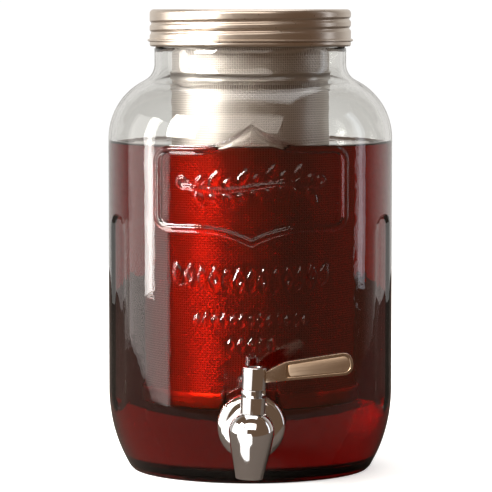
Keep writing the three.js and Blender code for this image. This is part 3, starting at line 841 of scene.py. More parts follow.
@dataclass(frozen=True)
class MetalFinish(Finish):
    """A metal with soft colour clouds, fine specks and changing gloss."""

    light: Colour = (0.8, 0.8, 0.8)
    dark: Colour = (0.7, 0.7, 0.7)
    gloss: tuple[float, float] = (0.1, 0.2)
    scale: float = 40.0
    fine: float = 12.0
    depth: float = 0.00002
    strength: float = 0.15
    lines: tuple[float, float, float] | None = None
    turn: tuple[float, float, float] = (0.0, 0.0, 0.0)

    def make(self, effects: Effects) -> bpy.types.Material:
        """Builds the material.

        Args:
            effects: All shared groups.

        Returns:
            The material.
        """
        material, graph, shader = self.start()
        sizes = {"Scale": self.scale, "Fine": self.fine}
        mottle = self.filled(graph, effects, Effect.MOTTLE, sizes)
        share, grain = mottle.outputs["Clouds"], mottle.outputs["Specks"]
        if self.lines:
            run = {"Turn": self.turn, "Stretch": self.lines}
            grain = self.filled(graph, effects, Effect.BRUSHING, run).outputs["Lines"]
            share = graph.sum("MULTIPLY_ADD", grain, 0.6, graph.sum("MULTIPLY", share, 0.4))
        graph.feed(shader, "Base Color", graph.mix(share, rgba(self.dark), rgba(self.light)))
        graph.feed(shader, "Roughness", graph.span(grain, *self.gloss))
        shader.inputs["Metallic"].default_value = 1.0
        self.bump(graph, shader, grain, self.depth, self.strength)
        return material


@dataclass(frozen=True)
class WeaveFinish(Finish):
    """Woven stainless wire round the infuser's axis, with painted shade in the holes between its wires.
    """

    light: Colour = (0.80, 0.74, 0.68)
    # dark is both the tone of the random clouds and the painted shade in the holes
    dark: Colour = (0.26, 0.22, 0.19)

    def make(self, effects: Effects) -> bpy.types.Material:
        """Builds the material.

        Args:
            effects: All shared groups.

        Returns:
            The material.
        """
        material, graph, shader = self.start()
        weave = self.filled(graph, effects, Effect.WEAVE, {"Centre": tuple(jar_axis())})
        mottle = self.filled(graph, effects, Effect.MOTTLE, {"Scale": 30.0, "Fine": 20.0})
        # random clouds of tone, plus painted shade: the dark colour fills the holes between the wires,
        # as shade seen through them
        cloud_tone_and_hole_shade = graph.sum("MULTIPLY_ADD", mottle.outputs["Clouds"], 0.3, weave.outputs["Wire"])
        graph.feed(shader, "Base Color", graph.mix(cloud_tone_and_hole_shade, rgba(self.dark), rgba(self.light)))
        graph.feed(shader, "Roughness", graph.span(mottle.outputs["Specks"], 0.3, 0.48))
        shader.inputs["Metallic"].default_value = 1.0
        self.bump(graph, shader, weave.outputs["Height"], 0.0002, 0.6)
        return material


@dataclass(frozen=True)
class SoftFinish(Finish):
    """A rubber or a plain card with faint clouds."""

    light: Colour = (0.85, 0.84, 0.8)
    dark: Colour = (0.7, 0.69, 0.65)
    gloss: tuple[float, float] = (0.4, 0.6)
    through: float = 0.0

    def make(self, effects: Effects) -> bpy.types.Material:
        """Builds the material.

        Args:
            effects: All shared groups.

        Returns:
            The material.
        """
        material, graph, shader = self.start()
        mottle = self.filled(graph, effects, Effect.MOTTLE, {"Scale": 60.0, "Fine": 15.0})
        cloudy = graph.mix(mottle.outputs["Clouds"], rgba(self.dark), rgba(self.light))
        graph.feed(shader, "Base Color", cloudy)
        graph.feed(shader, "Roughness", graph.span(mottle.outputs["Specks"], *self.gloss))
        shader.inputs["Transmission Weight"].default_value = self.through
        self.bump(graph, shader, mottle.outputs["Specks"], 0.00003, 0.2)
        return material


@dataclass(frozen=True)
class GlassFinish(Finish):
    """Pressed glass: clear, with the faint waves of its mould."""

    light: Colour = (0.985, 0.99, 0.985)
    dark: Colour = (0.955, 0.968, 0.958)
    index: float = 1.5
    shine: float = 0.22

    def make(self, effects: Effects) -> bpy.types.Material:
        """Builds the material.

        Args:
            effects: All shared groups.

        Returns:
            The material.
        """
        material, graph, shader = self.start()
        mottle = self.filled(graph, effects, Effect.MOTTLE, {"Scale": 28.0, "Fine": 3.0})
        cloudy = graph.mix(mottle.outputs["Clouds"], rgba(self.dark), rgba(self.light))
        graph.feed(shader, "Base Color", cloudy)
        graph.feed(shader, "Roughness", graph.span(mottle.outputs["Specks"], 0.0, 0.02))
        shader.inputs["Transmission Weight"].default_value = 1.0
        shader.inputs["IOR"].default_value = self.index
        shader.inputs["Specular IOR Level"].default_value = self.shine
        self.bump(graph, shader, mottle.outputs["Clouds"], 0.0009, 0.25)
        return material


@dataclass(frozen=True)
class DrinkFinish(Finish):
    """A clear red-brown drink that darkens with depth."""

    light: Colour = (1.0, 1.0, 1.0)
    dark: Colour = (0.96, 0.92, 0.9)
    index: float = 1.333
    shine: float = 0.12
    tint: Colour = (0.87, 0.33, 0.10)
    density: float = 115.0

    def make(self, effects: Effects) -> bpy.types.Material:
        """Builds the material.

        Args:
            effects: All shared groups.

        Returns:
            The material.
        """
        material, graph, shader = self.start()
        mottle = self.filled(graph, effects, Effect.MOTTLE, {"Scale": 18.0, "Fine": 3.0})
        cloudy = graph.mix(mottle.outputs["Clouds"], rgba(self.dark), rgba(self.light))
        graph.feed(shader, "Base Color", cloudy)
        shader.inputs["Roughness"].default_value = 0.0
        shader.inputs["Transmission Weight"].default_value = 1.0
        shader.inputs["IOR"].default_value = self.index
        shader.inputs["Specular IOR Level"].default_value = self.shine
        depth = {"Color": rgba(self.tint), "Density": self.density}
        absorb = graph.add("ShaderNodeVolumeAbsorption", depth)
        graph.feed(graph.output(), "Volume", absorb.outputs[0])
        return material


@dataclass
class Finishes:
    """Every finish on the dispenser, made once."""

    effects: Effects

    def __post_init__(self) -> None:
        """Builds the materials."""
        made = self.effects
        lines = (40.0, 3000.0, 3000.0)
        turn = (0.0, math.radians(PADDLE_TILT - TAP_LEAN), 0.0)
        self.glass = GlassFinish("jar_glass").make(made)
        self.drink = DrinkFinish("red_drink").make(made)
        self.weave = WeaveFinish("infuser_weave").make(made)
        self.tin = MetalFinish(
            "satin_tin", (0.78, 0.69, 0.60), (0.62, 0.54, 0.46), (0.24, 0.36), 35.0, 16.0, 0.00003, 0.2
        ).make(made)
        self.chrome = MetalFinish(
            "tap_chrome", (0.93, 0.93, 0.94), (0.86, 0.86, 0.87), (0.04, 0.10), 60.0, 8.0, 0.00002, 0.05
        ).make(made)
        self.steel = MetalFinish(
            "infuser_steel", (0.76, 0.71, 0.66), (0.6, 0.56, 0.51), (0.22, 0.38), 30.0, 14.0,
            0.00003, 0.2, (30.0, 30.0, 1800.0),
        ).make(made)
        self.brushed = MetalFinish(
            "lever_brushed", (0.74, 0.57, 0.42), (0.55, 0.41, 0.29), (0.28, 0.42), 50.0, 10.0,
            0.00004, 0.3, lines, turn,
        ).make(made)
        self.satin = MetalFinish(
            "lever_satin", (0.74, 0.60, 0.46), (0.60, 0.46, 0.34), (0.16, 0.30), 50.0, 10.0,
            0.00003, 0.25, lines, turn,
        ).make(made)
        self.brass = MetalFinish(
            "shank_brass", (0.82, 0.66, 0.38), (0.62, 0.47, 0.26), (0.2, 0.35), 70.0, 9.0, 0.00003, 0.2
        ).make(made)
        self.zinc = MetalFinish(
            "washer_steel", (0.62, 0.62, 0.62), (0.48, 0.48, 0.49), (0.25, 0.4), 70.0, 12.0, 0.00003, 0.2
        ).make(made)
        self.silicone = SoftFinish(
            "clear_silicone", (0.88, 0.87, 0.84), (0.76, 0.75, 0.72), (0.3, 0.5), 0.35
        ).make(made)
        self.rubber = SoftFinish(
            "seal_rubber", (0.10, 0.10, 0.10), (0.05, 0.05, 0.05), (0.45, 0.65)
        ).make(made)
        self.card = SoftFinish(
            "lid_liner", (0.90, 0.88, 0.83), (0.80, 0.77, 0.71), (0.5, 0.7)
        ).make(made)


# ---- The jar and the drink -----------------------------------------------------------------------
@dataclass
class Jar:
    """The pressed glass jar and the drink in it, in millimetres about the jar's axis."""

    places: Places
    finishes: Finishes
    height: float = 250.6
    body_r: float = 79.25
    neck_r: float = 53.5
    finish_r: float = 52.9
    wall: float = 3.8
    base: float = 7.0
    shoulder_r: float = 36.0
    shoulder_z: float = 184.5
    fillet_r: float = 10.0
    heel_r: float = 83.0
    heel_z: float = 44.0
    foot_corner: float = 1.5
    bearing: float = 7.0
    push_up_r: float = 50.0
    push_up: float = 2.5
    lid_bottom: float = 235.7
    tap_z: float = 33.0
    pad_r: float = 17.5
    pad_out: float = 79.3
    pad_in: float = 71.33
    fill_z: float = 182.3
    meniscus: float = 1.4
    soak: float = 0.45
    deep_soak: float = 3.8  # how far the drink's mesh reaches into the base glass
    crest: float = 1.2
    thread_drop: float = 11.2
    rim_corner: float = 1.0
    mouth_corner: float = 0.8
    pad_top: float = 52.0
    front_from: float = 68.0
    front_rows: int = 190
    grip_deg: float = 68.0
    grip_half: float = 11.0
    grip_span: tuple[float, float] = (46.0, 133.0)
    grip_depth: float = 0.9
    grip_slope: float = 2.2
    plaque_span: tuple[float, float] = (60.0, 200.0)
    first_sector: float = -136.0
    sectors: tuple[Sector, ...] = ((92, 176), (38, 18), (192, 36), (38, 18))

    def heel_turn(self, inset: float, z: float) -> float:
        """Gives the degrees that the heel's arc turns from a height up to the straight body."""
        return math.degrees(math.asin((self.heel_z - z) / (self.heel_r - inset)))

    def heel_radius(self, inset: float, z: float) -> float:
        """Gives the heel's radius at a height, inside a wall of the given thickness."""
        reach = self.heel_r - inset
        return self.body_r - self.heel_r + math.sqrt(reach**2 - (self.heel_z - z) ** 2)

    def shoulder(self) -> tuple[float, tuple[float, float], tuple[float, float]]:
        """Gives the shoulder's turn in degrees and the centres of its arc and the neck's fillet."""
        centre = (self.body_r - self.shoulder_r, self.shoulder_z)
        reach = self.shoulder_r + self.fillet_r
        fillet_x = self.neck_r + self.fillet_r
        turn = math.degrees(math.acos((fillet_x - centre[0]) / reach))
        return turn, centre, (fillet_x, self.shoulder_z + reach * math.sin(math.radians(turn)))

    def section(self, mesh: BMesh) -> None:
        """Draws the glass's closed section, up the outside and down the inside.

        Args:
            mesh: The mesh that takes the wire.
        """
        turn, centre, fillet = self.shoulder()
        foot = self.heel_radius(0.0, self.foot_corner)
        pen = Pen(mesh, 0.0, self.push_up)
        pen.line(self.push_up_r, self.push_up, 3).line(foot - self.foot_corner - self.bearing, 0.0, 2)
        pen.line(foot - self.foot_corner, 0.0, 2).line(foot, self.foot_corner)
        pen.arc((self.body_r - self.heel_r, self.heel_z), self.heel_turn(0.0, self.foot_corner), 24)
        pen.line(self.body_r, self.pad_top, 8).line(self.body_r, self.front_from, 5)
        pen.line(self.body_r, self.shoulder_z, self.front_rows)
        pen.arc(centre, turn, 32).arc(fillet, -turn, 8)
        pen.line(self.neck_r, self.lid_bottom - 1.2, 3).line(self.finish_r, self.lid_bottom - 0.6)
        rim = self.height - self.rim_corner
        pen.line(self.finish_r, rim, 24).arc((self.finish_r - self.rim_corner, rim), 90, 3)
        mouth = self.neck_r - self.wall
        lip = mouth + self.mouth_corner
        pen.line(lip, self.height).arc((lip, self.height - self.mouth_corner), 90, 3)
        pen.line(mouth, fillet[1], 4).arc(fillet, turn, 6).arc(centre, -turn, 12)
        pen.line(self.body_r - self.wall, self.heel_z, 12)
        low = self.base + 3 * self.foot_corner
        pen.arc((self.body_r - self.heel_r, self.heel_z), -self.heel_turn(self.wall, low), 18)
        corner = self.heel_radius(self.wall, low)
        pen.line(corner - 1.4, self.base + 1.4, 2).line(corner - 4.5, self.base).line(0.0, self.base, 3)

    def grips(self, angle: np.ndarray, up: np.ndarray) -> np.ndarray:
        """Gives the depth of the two hand recesses, in millimetres.

        Args:
            angle: Angles round the jar.
            up: Heights.

        Returns:
            How far each place is sunk.
        """
        low, high = self.grip_span
        found = np.zeros(up.shape)
        for side in (-1, 1):
            middle = math.radians(-90 + side * self.grip_deg)
            across = self.body_r * np.sin(angle - middle)
            facing = np.cos(angle - middle) > 0
            beyond = np.maximum(np.maximum(low - up, up - high), 0)
            reach = np.hypot(across, beyond)
            sunk = rise((self.grip_half - reach) / self.grip_slope)
            found = np.maximum(found, facing * self.grip_depth * sunk)
        return found

    def mould(self, mesh: BMesh) -> None:
        """Presses the plaque, the thread, the grips and the tap's pad into the glass.

        Args:
            mesh: The turned jar.
        """
        mesh.normal_update()
        co = np.array([vert.co for vert in mesh.verts])
        normal = np.array([vert.normal for vert in mesh.verts])
        radius = np.hypot(co[:, 0], co[:, 1])
        angle = np.arctan2(co[:, 1], co[:, 0])
        outward = normal[:, 0] * co[:, 0] + normal[:, 1] * co[:, 1] > 0
        outer = outward & (radius > self.finish_r - 0.5)
        front = outer & (co[:, 1] < 0)
        push = np.zeros(len(co))
        plaque = front & (co[:, 2] > self.plaque_span[0]) & (co[:, 2] < self.plaque_span[1])
        push[plaque] = Plaque().relief(co[plaque, 0], co[plaque, 2])
        mouth = outer & (co[:, 2] > self.lid_bottom - 2) & (co[:, 2] < self.height - 1.2)
        thread = Thread(-63.0, 1.4, self.height - self.thread_drop, self.crest, 1.5, 1.3, 12.0)
        push[mouth] += thread.relief(angle[mouth], co[mouth, 2])
        body = outer & (co[:, 2] < self.shoulder_z)
        push[body] -= self.grips(angle[body], co[body, 2])
        co += normal * push[:, None]
        self.press_pad(co, front, self.pad_out, 1.0)
        inside = ~outer & (radius > self.push_up_r) & (co[:, 2] > self.base + 2)
        inner = inside & (co[:, 1] < 0)
        self.press_pad(co, inner, self.pad_in, 0.6)
        for vert, place in zip(mesh.verts, co.tolist()):
            vert.co = place

    def press_pad(self, co: np.ndarray, chosen: np.ndarray, depth: float, edge: float) -> None:
        """Flattens a round pad for the tap.

        Args:
            co: All points; they are moved in place.
            chosen: Which of them belong to this face of the wall.
            depth: Distance of the flat from the jar's axis.
            edge: Width over which the pad falls to the wall.
        """
        reach = np.hypot(co[:, 0], co[:, 2] - self.tap_z)
        share = rise((self.pad_r + edge / 2 - reach) / edge) * chosen
        co[:, 1] += share * (-depth - co[:, 1])

    def build(self) -> None:
        """Makes the glass and the drink."""
        mesh = bmesh.new()
        self.section(mesh)
        sweep(mesh, self.sectors, start=self.first_sector)
        self.mould(mesh)
        piece = Piece("jar_wall", Body.JAR, ("glass_jar",), "jar_glass", 60.0)
        piece.place(mesh, self.places.jar, self.finishes.glass)
        self.fill()

    def fill(self) -> None:
        """Makes the drink, whose edge climbs the glass a little."""
        mesh = bmesh.new()
        wall = self.wall - self.soak
        edge = self.body_r - wall
        floor = self.base - self.deep_soak
        low = floor + 3 * self.foot_corner
        corner = self.heel_radius(wall, low)
        pen = Pen(mesh, 0.0, floor)
        pen.line(corner - 4.5, floor, 3).line(corner - 1.4, floor + 1.4, 2).line(corner, low, 2)
        pen.arc((self.body_r - self.heel_r, self.heel_z), self.heel_turn(wall, low), 24)
        pen.line(edge, self.fill_z + self.meniscus, 24)
        pen.line(edge - self.soak, self.fill_z + self.meniscus)
        pen.arc((edge - self.soak - self.meniscus, self.fill_z + self.meniscus), -90, 5)
        pen.line(0.0, self.fill_z, 6)
        sweep(mesh, [(360, 128)])
        piece = Piece("drink_fill", Body.JAR)
        piece.place(mesh, self.places.jar, self.finishes.drink)


# ---- The infuser ---------------------------------------------------------------------------------
@dataclass
class Infuser:
    """The mesh tube that hangs in the jar, with its rim, band and cup, in millimetres."""

    places: Places
    finishes: Finishes
    tube_r: float = 43.9
    sheet: float = 0.8
    gap: float = 0.3
    bottom: float = 38.3
    cup: float = 8.7
    band_top: float = 221.0
    band: float = 7.4
    flange_z: float = 252.7
    flange_t: float = 1.0
    rim_r: float = 52.9
    seat: float = 242.6
    lap: float = 4.5
    lap_proud: float = 0.16
    cup_step: float = 0.25

    def build(self) -> None:
        """Makes every piece of the infuser."""
        self.tube()
        self.rim()
        self.ring()
        self.foot()

    def steel(self, name: str, node: str, mesh: BMesh) -> None:
        """Places one of the solid steel pieces.

        Args:
            name: The piece's name.
            node: The node that it stands for.
            mesh: Its mesh.
        """
        piece = Piece(name, Body.INFUSER, (node,), "infuser_steel", 35.0)
        piece.place(mesh, self.places.jar, self.finishes.steel)

    def tube(self) -> None:
        """Makes the woven tube, with a lap where its edges are joined at the front."""
        mesh = bmesh.new()
        low, high = self.bottom + self.sheet + self.gap, self.flange_z - self.gap
        pen = Pen(mesh, self.tube_r, low)
        inner = self.tube_r - self.sheet
        pen.line(self.tube_r, high, 60).line(inner, high).line(inner, low, 60).close()
        sweep(mesh, [(360, 160)])
        for vert in mesh.verts:
            outside = vert.co.xy.length > self.tube_r - self.sheet / 2
            if outside and vert.co.y < 0 and abs(vert.co.x) < self.lap / 2:
                vert.co.xy *= 1 + self.lap_proud / self.tube_r
        piece = Piece("woven_tube", Body.INFUSER, ("infuser_mesh",), "infuser_weave", 60.0)
        piece.place(mesh, self.places.jar, self.finishes.weave)

    def rim(self) -> None:
        """Makes the pressed rim that rests over the mouth."""
        mesh = bmesh.new()
        sleeve = self.tube_r + self.gap
        top, lip = self.flange_z + self.flange_t, self.tube_r - 2 * self.sheet
        pen = Pen(mesh, sleeve, self.seat)
        pen.line(sleeve + self.sheet, self.seat).line(sleeve + self.sheet, self.flange_z, 4)
        pen.line(self.rim_r, self.flange_z).line(self.rim_r, top).line(lip, top)
        pen.line(lip, self.flange_z).line(sleeve, self.flange_z).close()
        sweep(mesh, [(360, 128)])
        soften(mesh, 0.25)
        self.steel("infuser_rim", "infuser_flange", mesh)

    def ring(self) -> None:
        """Makes the band round the tube, with rolled edges."""
        mesh = bmesh.new()
        inner = self.tube_r + self.gap
        low = self.band_top - self.band
        pen = Pen(mesh, inner, low)
        pen.line(inner + self.sheet, low).line(inner + self.sheet, low + 0.9)
        pen.line(inner + 0.5, low + 1.5)
        pen.line(inner + 0.5, self.band_top - 1.5).line(inner + self.sheet, self.band_top - 0.9)
        pen.line(inner + self.sheet, self.band_top).line(inner, self.band_top).close()
        sweep(mesh, [(360, 128)])
        soften(mesh, 0.15)
        self.steel("infuser_collar", "infuser_band", mesh)

    def foot(self) -> None:
        """Makes the cup that closes the tube's lower end."""
        mesh = bmesh.new()
        inner, high = self.tube_r + self.gap, self.bottom + self.cup
        pen = Pen(mesh, 0.0, self.bottom)
        step = self.bottom + self.cup_step
        pen.line(inner * 0.6, self.bottom, 2).line(inner * 0.6 + 1, step).line(inner - 1, step)
        pen.line(inner, self.bottom).line(inner + self.sheet, self.bottom + self.sheet)
        pen.line(inner + self.sheet, high, 3).line(inner, high).line(inner, self.bottom + 2 * self.sheet)
        pen.line(inner - self.sheet, self.bottom + self.sheet).line(0.0, self.bottom + self.sheet, 3)
        sweep(mesh, [(360, 128)])
        soften(mesh, 0.15)
        self.steel("infuser_foot", "infuser_cup", mesh)


# ---- The lid -------------------------------------------------------------------------------------
@dataclass
class Lid:
    """The screw lid of thin tin, in millimetres."""

    places: Places
    finishes: Finishes
    radius: float = 56.1
    wall: float = 0.8
    bottom: float = 235.7
    top: float = 256.3
    corner: float = 2.4
    bead_up: float = 3.4
    bead: float = 1.3
    proud: float = 1.2
    curl: float = 1.5
    groove: float = 0.9
    thread_up: float = 7.3
    ring: tuple[float, float, float, float] = (45.0, 45.6, 47.4, 48.0)
    ring_depth: float = 0.25

    def section(self, mesh: BMesh) -> None:
        """Draws the closed section, from the middle of the top over the skirt and back inside.

        Args:
            mesh: The mesh that takes the wire.
        """
        bead = self.bottom + self.bead_up
        inner, half = self.radius - self.wall, self.bead / 2
        sunk = self.top - self.ring_depth
        pen = Pen(mesh, 0.0, self.top)
        pen.line(self.ring[0], self.top, 4).line(self.ring[1], sunk)
        pen.line(self.ring[2], sunk).line(self.ring[3], self.top)
        pen.line(self.radius - self.corner, self.top, 2)
        pen.arc((self.radius - self.corner, self.top - self.corner), -90, 8)
        pen.line(self.radius, bead + half + 0.2, 40)
        pen.line(self.radius + self.proud - 0.5, bead + half).line(self.radius + self.proud, bead + 0.25)
        pen.line(self.radius + self.proud, bead - 0.25).line(self.radius + self.proud - 0.5, bead - half)
        pen.line(self.radius - 0.1, bead - half - 0.2).line(self.radius, self.bottom + 1.3, 2)
        pen.line(self.radius - 0.25, self.bottom + 0.35).line(self.radius - 0.8, self.bottom)
        pen.line(self.radius - self.curl + 0.25, self.bottom)
        pen.line(self.radius - self.curl, self.bottom + 0.5)
        pen.line(self.radius - self.curl, bead - self.bead).line(inner, bead)
        pen.line(inner, self.top - self.wall - self.corner, 30)
        pen.line(inner - self.corner, self.top - self.wall, 2).line(0.0, self.top - self.wall, 3)

    def build(self) -> None:
        """Turns the lid and presses its thread."""
        mesh = bmesh.new()
        self.section(mesh)
        sweep(mesh, [(360, 240)])
        co = np.array([vert.co for vert in mesh.verts])
        radius = np.hypot(co[:, 0], co[:, 1])
        bead = self.bottom + self.bead_up
        shell = radius > self.radius - self.wall - 0.05
        skirt = shell & (co[:, 2] > bead + 1) & (co[:, 2] < self.top - self.corner)
        depth = np.zeros(len(co))
        thread = Thread(-198.0, 1.75, self.bottom + self.thread_up, self.groove, 1.55, 1.35, 14.0)
        depth[skirt] = thread.relief(np.arctan2(co[skirt, 1], co[skirt, 0]), co[skirt, 2])
        co[:, :2] *= (1 - depth / np.maximum(radius, 1))[:, None]
        for vert, place in zip(mesh.verts, co.tolist()):
            vert.co = place
        piece = Piece("screw_lid", Body.LID, ("lid_shell",), "lid_tin", 50.0)
        piece.place(mesh, self.places.jar, self.finishes.tin)


# ---- The tap -------------------------------------------------------------------------------------
@dataclass
class Tap:
    """The chromed tap: plate, body, bonnet and lever, in millimetres."""

    places: Places
    finishes: Finishes
    seal_out: float = 79.6
    seal_r: float = 13.3
    hole_r: float = 8.4
    plate_r: float = 18.2
    plate_rim: float = 1.2
    plate_out: float = 81.4
    dome: float = 3.0
    crown_r: float = 11.6
    barrel_out: float = 84.7
    barrel_r: float = 9.6
    flare_r: float = 11.0
    socket: float = 6.0
    valve_reach: float = 103.25
    bulb_r: float = 12.2
    bulb_shoulder: float = 54.0
    spout_bottom: float = -24.7
    spout_r: float = 7.3
    spout_bore: float = 5.4
    lip: float = 0.8
    stem_bore: float = 4.6
    bonnet_r: float = 6.7
    bonnet_top: float = 22.8
    notch: float = 4.0
    notch_from: float = -80.0
    notch_to: float = 44.0
    gap: float = 0.3

    def chrome(self, name: str, node: str, mesh: BMesh, place: Matrix) -> None:
        """Places one of the chromed pieces.

        Args:
            name: The piece's name.
            node: The node that it stands for.
            mesh: Its mesh.
            place: Its drawing frame.
        """
        piece = Piece(name, Body.JAR, (node,), "tap_chrome", 35.0)
        piece.place(mesh, place, self.finishes.chrome)

    def plate(self) -> None:
        """Makes the domed plate against the glass."""
        mesh = bmesh.new()
        crown = self.plate_out + self.dome
        pen = Pen(mesh, self.hole_r, self.plate_out)
        pen.line(self.seal_r, self.plate_out).line(self.seal_r, self.seal_out)
        pen.line(self.plate_r, self.seal_out)
        pen.line(self.plate_r, self.seal_out + self.plate_rim)
        edge = (self.plate_r, self.seal_out + self.plate_rim)
        pull = (self.plate_r - self.plate_rim, crown)
        for radius, out in quadratic(edge, pull, (self.crown_r, crown), 14):
            pen.line(radius, out)
        pen.line(self.hole_r, crown).close()
        sweep(mesh, [(360, 96)])
        soften(mesh, 0.2, from_angle=40)
        self.chrome("tap_plate", "tap_escutcheon", mesh, self.places.shank)

    def bulb(self, mesh: BMesh) -> None:
        """Draws and turns the bulb and spout about the valve's axis.

        Args:
            mesh: The mesh that takes them.
        """
        top = self.bulb_r * math.sin(math.radians(self.bulb_shoulder))
        shoulder = self.bulb_r * math.cos(math.radians(self.bulb_shoulder))
        pen = Pen(mesh, self.stem_bore, -7.5)
        pen.line(self.stem_bore, top).line(shoulder, top)
        pen.arc((0.0, 0.0), -self.bulb_shoulder, 14)
        lip_z = self.spout_bottom + self.lip
        for radius, up in quadratic((self.bulb_r, 0.0), (11.0, -9.0), (self.spout_r, lip_z), 24):
            pen.line(radius, up)
        pen.arc((self.spout_r - self.lip, lip_z), -90, 4)
        pen.line(self.spout_bore + 0.4, self.spout_bottom).line(self.spout_bore, self.spout_bottom + 0.4)
        pen.line(self.spout_bore, -7.5, 3).close()
        sweep(mesh, [(360, 96)])

    def barrel(self) -> BMesh:
        """Turns the barrel between the plate and the bulb.

        Returns:
            The barrel, drawn along the shank.
        """
        mesh = bmesh.new()
        end = self.valve_reach - self.bonnet_r - self.gap
        socket_out = self.barrel_out + self.socket
        pen = Pen(mesh, 8.2, socket_out)
        pen.line(8.2, self.barrel_out).line(self.flare_r, self.barrel_out)
        flare, pull = (self.flare_r, self.barrel_out), (self.barrel_r, self.barrel_out + 2.0)
        for radius, out in quadratic(flare, pull, (self.barrel_r, socket_out), 8):
            pen.line(radius, out)
        pen.line(self.barrel_r, end, 2).line(0.0, end).line(0.0, socket_out).close()
        sweep(mesh, [(360, 80)])
        soften(mesh, 0.2, from_angle=50)
        return mesh

    def body(self) -> None:
        """Makes the tap's body in one piece."""
        mesh = bmesh.new()
        self.bulb(mesh)
        barrel = self.barrel()
        across = self.places.valve.inverted() @ self.places.shank
        bmesh.ops.transform(barrel, matrix=across, verts=barrel.verts)
        join(mesh, barrel)
        self.chrome("tap_bulb", "tap_body", mesh, self.places.valve)

    def collar(self) -> None:
        """Makes the notched collar round the stem."""
        top = self.bulb_r * math.sin(math.radians(self.bulb_shoulder))
        low = top + self.gap
        floor = self.bonnet_top - self.notch
        mesh = bmesh.new()
        pen = Pen(mesh, self.stem_bore, low)
        pen.line(self.bonnet_r, low).line(self.bonnet_r, floor, 2).line(self.stem_bore, floor).close()
        sweep(mesh, [(360, 72)])
        wall = bmesh.new()
        pen = Pen(wall, self.stem_bore, floor - 0.05)
        pen.line(self.bonnet_r, floor - 0.05).line(self.bonnet_r, self.bonnet_top)
        pen.line(self.stem_bore, self.bonnet_top).close()
        sweep(wall, [(360 - self.notch_to + self.notch_from, 48)], start=self.notch_to)
        soften(wall, 0.25)
        join(mesh, wall)
        self.chrome("tap_collar", "tap_bonnet", mesh, self.places.valve)

    def build(self) -> None:
        """Makes every piece of the tap."""
        self.plate()
        self.body()
        self.collar()
        Lever(self.places, self.finishes).build()


